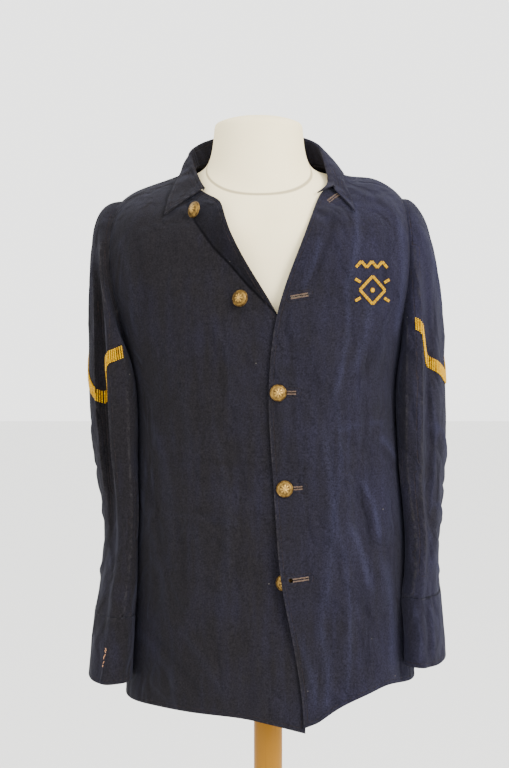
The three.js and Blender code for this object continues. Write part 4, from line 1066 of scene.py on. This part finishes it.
def border_of(group):
    """The points round a group of faces, in step."""
    next_to = {}
    for face in group:
        for edge in face.edges:
            if sum(other in group for other in edge.link_faces) == 1:
                a, b = edge.verts
                next_to.setdefault(a, []).append(b)
                next_to.setdefault(b, []).append(a)
    start = next(iter(next_to))
    loop, last = [start], None
    while len(loop) < len(next_to):
        step = next(vertex for vertex in next_to[loop[-1]] if vertex is not last)
        last = loop[-1]
        loop.append(step)
    return [vertex.co.copy() for vertex in loop]


def band_edges(node):
    """The lower and the upper edge of a chevron's outer face, as lists of points in step."""
    shape = bmesh.new()
    shape.from_mesh(nodes[node].data)
    bmesh.ops.remove_doubles(shape, verts=shape.verts, dist=0.000002)
    broad = [
        face
        for face in shape.faces
        if all(abs(edge.calc_length() - BAND_THICKNESS) > 0.01 * MM for edge in face.edges)
    ]
    outer = max(joined_faces(broad), key=lambda group: sum(face.calc_area() for face in group))
    points = border_of(outer)
    shape.free()
    return split_rim(points)


ACROSS = 5  # even steps across a band's end
END_STEP = 3.3 * MM  # the length of each of those steps


def split_rim(points):
    """Splits a band's border at its four corners, and pairs its long edges from the front backwards."""
    count = len(points)
    along = count // 2 - ACROSS
    misfit = [abs((points[i] - points[(i + 1) % count]).length - END_STEP) for i in range(count)]

    def misfit_from(start):
        steps = [start + k for k in range(ACROSS)] + [start + ACROSS + along + k for k in range(ACROSS)]
        return sum(misfit[step % count] for step in steps)

    corner = min(range(count), key=misfit_from) + ACROSS
    order = [points[(corner + k) % count] for k in range(count)]
    first = order[: along + 1]
    second = order[along + ACROSS : 2 * along + ACROSS + 1][::-1]
    if first[0].y > first[-1].y:
        first, second = first[::-1], second[::-1]
    return (first, second) if first[0].z < second[0].z else (second, first)


def chevron_stands(node, cloth):
    """Beads in lanes side by side along a chevron, laid on the sleeve's cloth."""
    low, high = band_edges(node)
    surface = surface_of(cloth)
    stands, spare, lane = [], LANE_PITCH / 2, 0
    for i in range(len(low) - 1):
        run = ((low[i + 1] - low[i]).length + (high[i + 1] - high[i]).length) / 2
        gone = spare
        while gone < run:
            share = gone / run
            foot = low[i].lerp(low[i + 1], share)
            head = high[i].lerp(high[i + 1], share)
            for k in range(BEADS_IN_LANE):
                point = foot.lerp(head, (k + 0.5) / BEADS_IN_LANE)
                place, normal = surface.find_nearest(point)[:2]
                stands.append((place + normal * BEAD_RADIUS * 0.8, head - foot, 1.0, lane))
            gone += LANE_PITCH
            lane += 1
        spare = gone - run
    return stands


# The chest motif, in millimetres about its middle: rows of beads from x1, z1 to x2, z2.
Line = namedtuple("Line", "x1 z1 x2 z2")
MOTIF_MIDDLE = {"x": 133, "z": 1244}
MOTIF_LINES = [
    Line(-22, 20, -15, 28),
    Line(-15, 28, -8, 20),
    Line(-8, 20, -1, 28),
    Line(-1, 28, 6, 20),
    Line(6, 20, 13, 28),
    Line(13, 28, 20, 20),
    Line(-17, -9, 0, 9),
    Line(0, 9, 17, -9),
    Line(17, -9, 0, -27),
    Line(0, -27, -17, -9),
    Line(-3, -9, 3, -9),
    Line(0, -12, 0, -6),
    Line(-23, 5, -16, 1),
    Line(16, 1, 23, 5),
    Line(-23, -23, -16, -19),
    Line(16, -19, 23, -23),
]
MOTIF_STEP = 1.75
MOTIF_ROWS = (-0.9, 0.9)
MOTIF_BEAD = 0.92  # the size of its beads, as a share of a chevron's
AHEAD = -0.4  # a place well in front of the coat, from which it is looked at


def motif_stands(cloth):
    """Two rows of beads beside each other along each line of the motif, on the front's cloth."""
    surface = surface_of(cloth)
    stands = []
    for line in MOTIF_LINES:
        start = Vector((line.x1, line.z1))
        run = Vector((line.x2, line.z2)) - start
        count = max(round(run.length / MOTIF_STEP), 2)
        sideways = Vector((-run.y, run.x)).normalized()
        for k in range(count):
            for row in MOTIF_ROWS:
                point = start + run * ((k + 0.5) / count) + sideways * row
                x = (MOTIF_MIDDLE["x"] + point.x) * MM
                z = (MOTIF_MIDDLE["z"] + point.y) * MM
                place, normal = surface.ray_cast(Vector((x, AHEAD, z)), Vector((0, 1, 0)))[:2]
                stands.append((place + normal * BEAD_RADIUS * 0.75, (run.x, 0, run.y), MOTIF_BEAD, k))
    return stands


# Threads, in millimetres
# Buttonholes as seen from the front: their ends, and whether an eye is worked at the first.
BUTTONHOLES = [
    {"x1": 77.5, "z1": 1352, "x2": 96, "z2": 1366.5, "eye": False},
    {"x1": 27, "z1": 1225, "x2": 50.6, "z2": 1229.2, "eye": False},
    {"x1": 22.6, "z1": 1103.5, "x2": 35.2, "z2": 1103.5, "eye": False},
    {"x1": 30.8, "z1": 981.4, "x2": 43.4, "z2": 982.1, "eye": False},
    {"x1": 27.5, "z1": 864, "x2": 51.4, "z2": 866.5, "eye": True},
]
STITCH_STEP = 1.15
STITCH_LENGTH = 1.7
STITCH_INSET = 0.75  # from a buttonhole's middle line to its stitches
STITCH_RADIUS = 0.36 * MM
EYE_STITCHES = 14
EYE_INNER = 2.4
EYE_OUTER = 4.4
THREAD_LONGEST = 6 * MM  # a thread that would be longer falls through a hole, and is left out


def rods_along(name, cloth, ends, radius, material):
    """Short straight threads lying on a cloth, each between two points seen from the front."""
    surface = surface_of(cloth)
    rods = []
    for a, b in ends:
        points = []
        for x, z in (a, b):
            place, normal = surface.ray_cast(Vector((x * MM, AHEAD, z * MM)), Vector((0, 1, 0)))[:2]
            if place is None:
                break
            points.append(place + normal * radius * 0.6)
        if len(points) == 2 and (points[1] - points[0]).length < THREAD_LONGEST:
            rods.append(tube_between(points[0], points[1], radius, 6))
    deselect()
    for rod in rods:
        rod.select_set(True)
    bpy.context.view_layer.objects.active = rods[0]
    bpy.ops.object.join()
    piece = bpy.context.object
    piece.name = name
    bpy.ops.object.shade_smooth_by_angle(angle=math.radians(50))
    return finish_piece(piece, material, None)


def make_buttonhole_threads(cloth, material):
    for number, hole in enumerate(BUTTONHOLES, 1):
        start = Vector((hole["x1"], hole["z1"]))
        run = Vector((hole["x2"], hole["z2"])) - start
        way = run.normalized()
        sideways = Vector((-way.y, way.x))
        ends = []
        for k in range(int(run.length / STITCH_STEP)):
            at = start + way * (k + 0.5) * STITCH_STEP
            for edge in (-1, 1):
                inner = at + sideways * edge * STITCH_INSET
                ends.append((inner, inner + sideways * edge * STITCH_LENGTH))
        if hole["eye"]:
            for k in range(EYE_STITCHES):
                turn = math.tau * k / EYE_STITCHES
                spoke = Vector((math.cos(turn), math.sin(turn)))
                ends.append((start + spoke * EYE_INNER, start + spoke * EYE_OUTER))
        rods_along(f"buttonhole_{number}_thread", cloth, ends, STITCH_RADIUS, material)


# What is left of the thread of the wearer's right cuff button, as seen from the front
CUFF_THREADS = [
    Line(-213.5, 768, -212.6, 764.6),
    Line(-214.6, 765, -213.2, 762.2),
    Line(-213.9, 760, -215.2, 756.6),
    Line(-215.6, 757.5, -216.2, 753.5),
    Line(-215.3, 751, -216.8, 748),
    Line(-217.0, 746, -217.4, 743.6),
]


def make_cuff_threads(cloth, material):
    ends = [(Vector((line.x1, line.z1)), Vector((line.x2, line.z2))) for line in CUFF_THREADS]
    rods_along("lost_button_thread", cloth, ends, STITCH_RADIUS * 1.3, material)


# Scene


def add_floor():
    deselect()
    bpy.ops.mesh.primitive_plane_add(size=30, location=(0, 0, 0))
    floor = bpy.context.object
    floor.name = "floor"
    pale = Finish("pale_floor", Base_Color=(0.80, 0.80, 0.79), Roughness=0.9)
    floor.data.materials.append(pale.material)


def add_light(name, place, target, size, power, colour=(1, 1, 1)):
    bpy.ops.object.light_add(type="AREA", location=place)
    light = bpy.context.object
    light.name = name
    light.rotation_euler = (Vector(target) - Vector(place)).to_track_quat("-Z", "Y").to_euler()
    light.data.shape = "SQUARE"
    light.data.size = size
    light.data.energy = power
    light.data.color = colour


def light_scene():
    world = bpy.data.worlds.new("studio")
    bpy.context.scene.world = world
    world.use_nodes = True
    background = world.node_tree.nodes["Background"]
    background.inputs["Color"].default_value = (0.875, 0.875, 0.86, 1)
    background.inputs["Strength"].default_value = 3.2
    middle = (0, 0, 1.1)
    add_light("key", (1.9, -1.9, 2.4), middle, 1.2, 130, (1.0, 0.98, 0.96))
    add_light("fill", (-2.2, -1.8, 1.6), middle, 2.0, 12, (0.95, 0.97, 1.0))


add_camera()
wool = wool_finish()
brass = brass_finish()
beads = bead_finish()
cover = cover_finish()
wood = wood_finish()
tan_thread = thread_finish("tan_thread", (0.17, 0.098, 0.052), (0.060, 0.032, 0.018))
make_stand(cover, wood)
coat = make_coat(wool)
make_buttons(brass)
for side in ("right", "left"):
    chevron = "chevron_" + side
    cloth = coat["sleeve_" + side + "_top"]
    bead_field(chevron + "_beads", chevron_stands(chevron, cloth), beads, "beads", chevron)
bead_field("chest_motif_beads", motif_stands(coat["front_left"]), beads, "beads")
make_buttonhole_threads(coat["front_left"], tan_thread)
orange_thread = thread_finish("orange_thread", (0.42, 0.20, 0.09), (0.20, 0.085, 0.03))
make_cuff_threads(coat["cuff_right"], orange_thread)
add_floor()
light_scene()
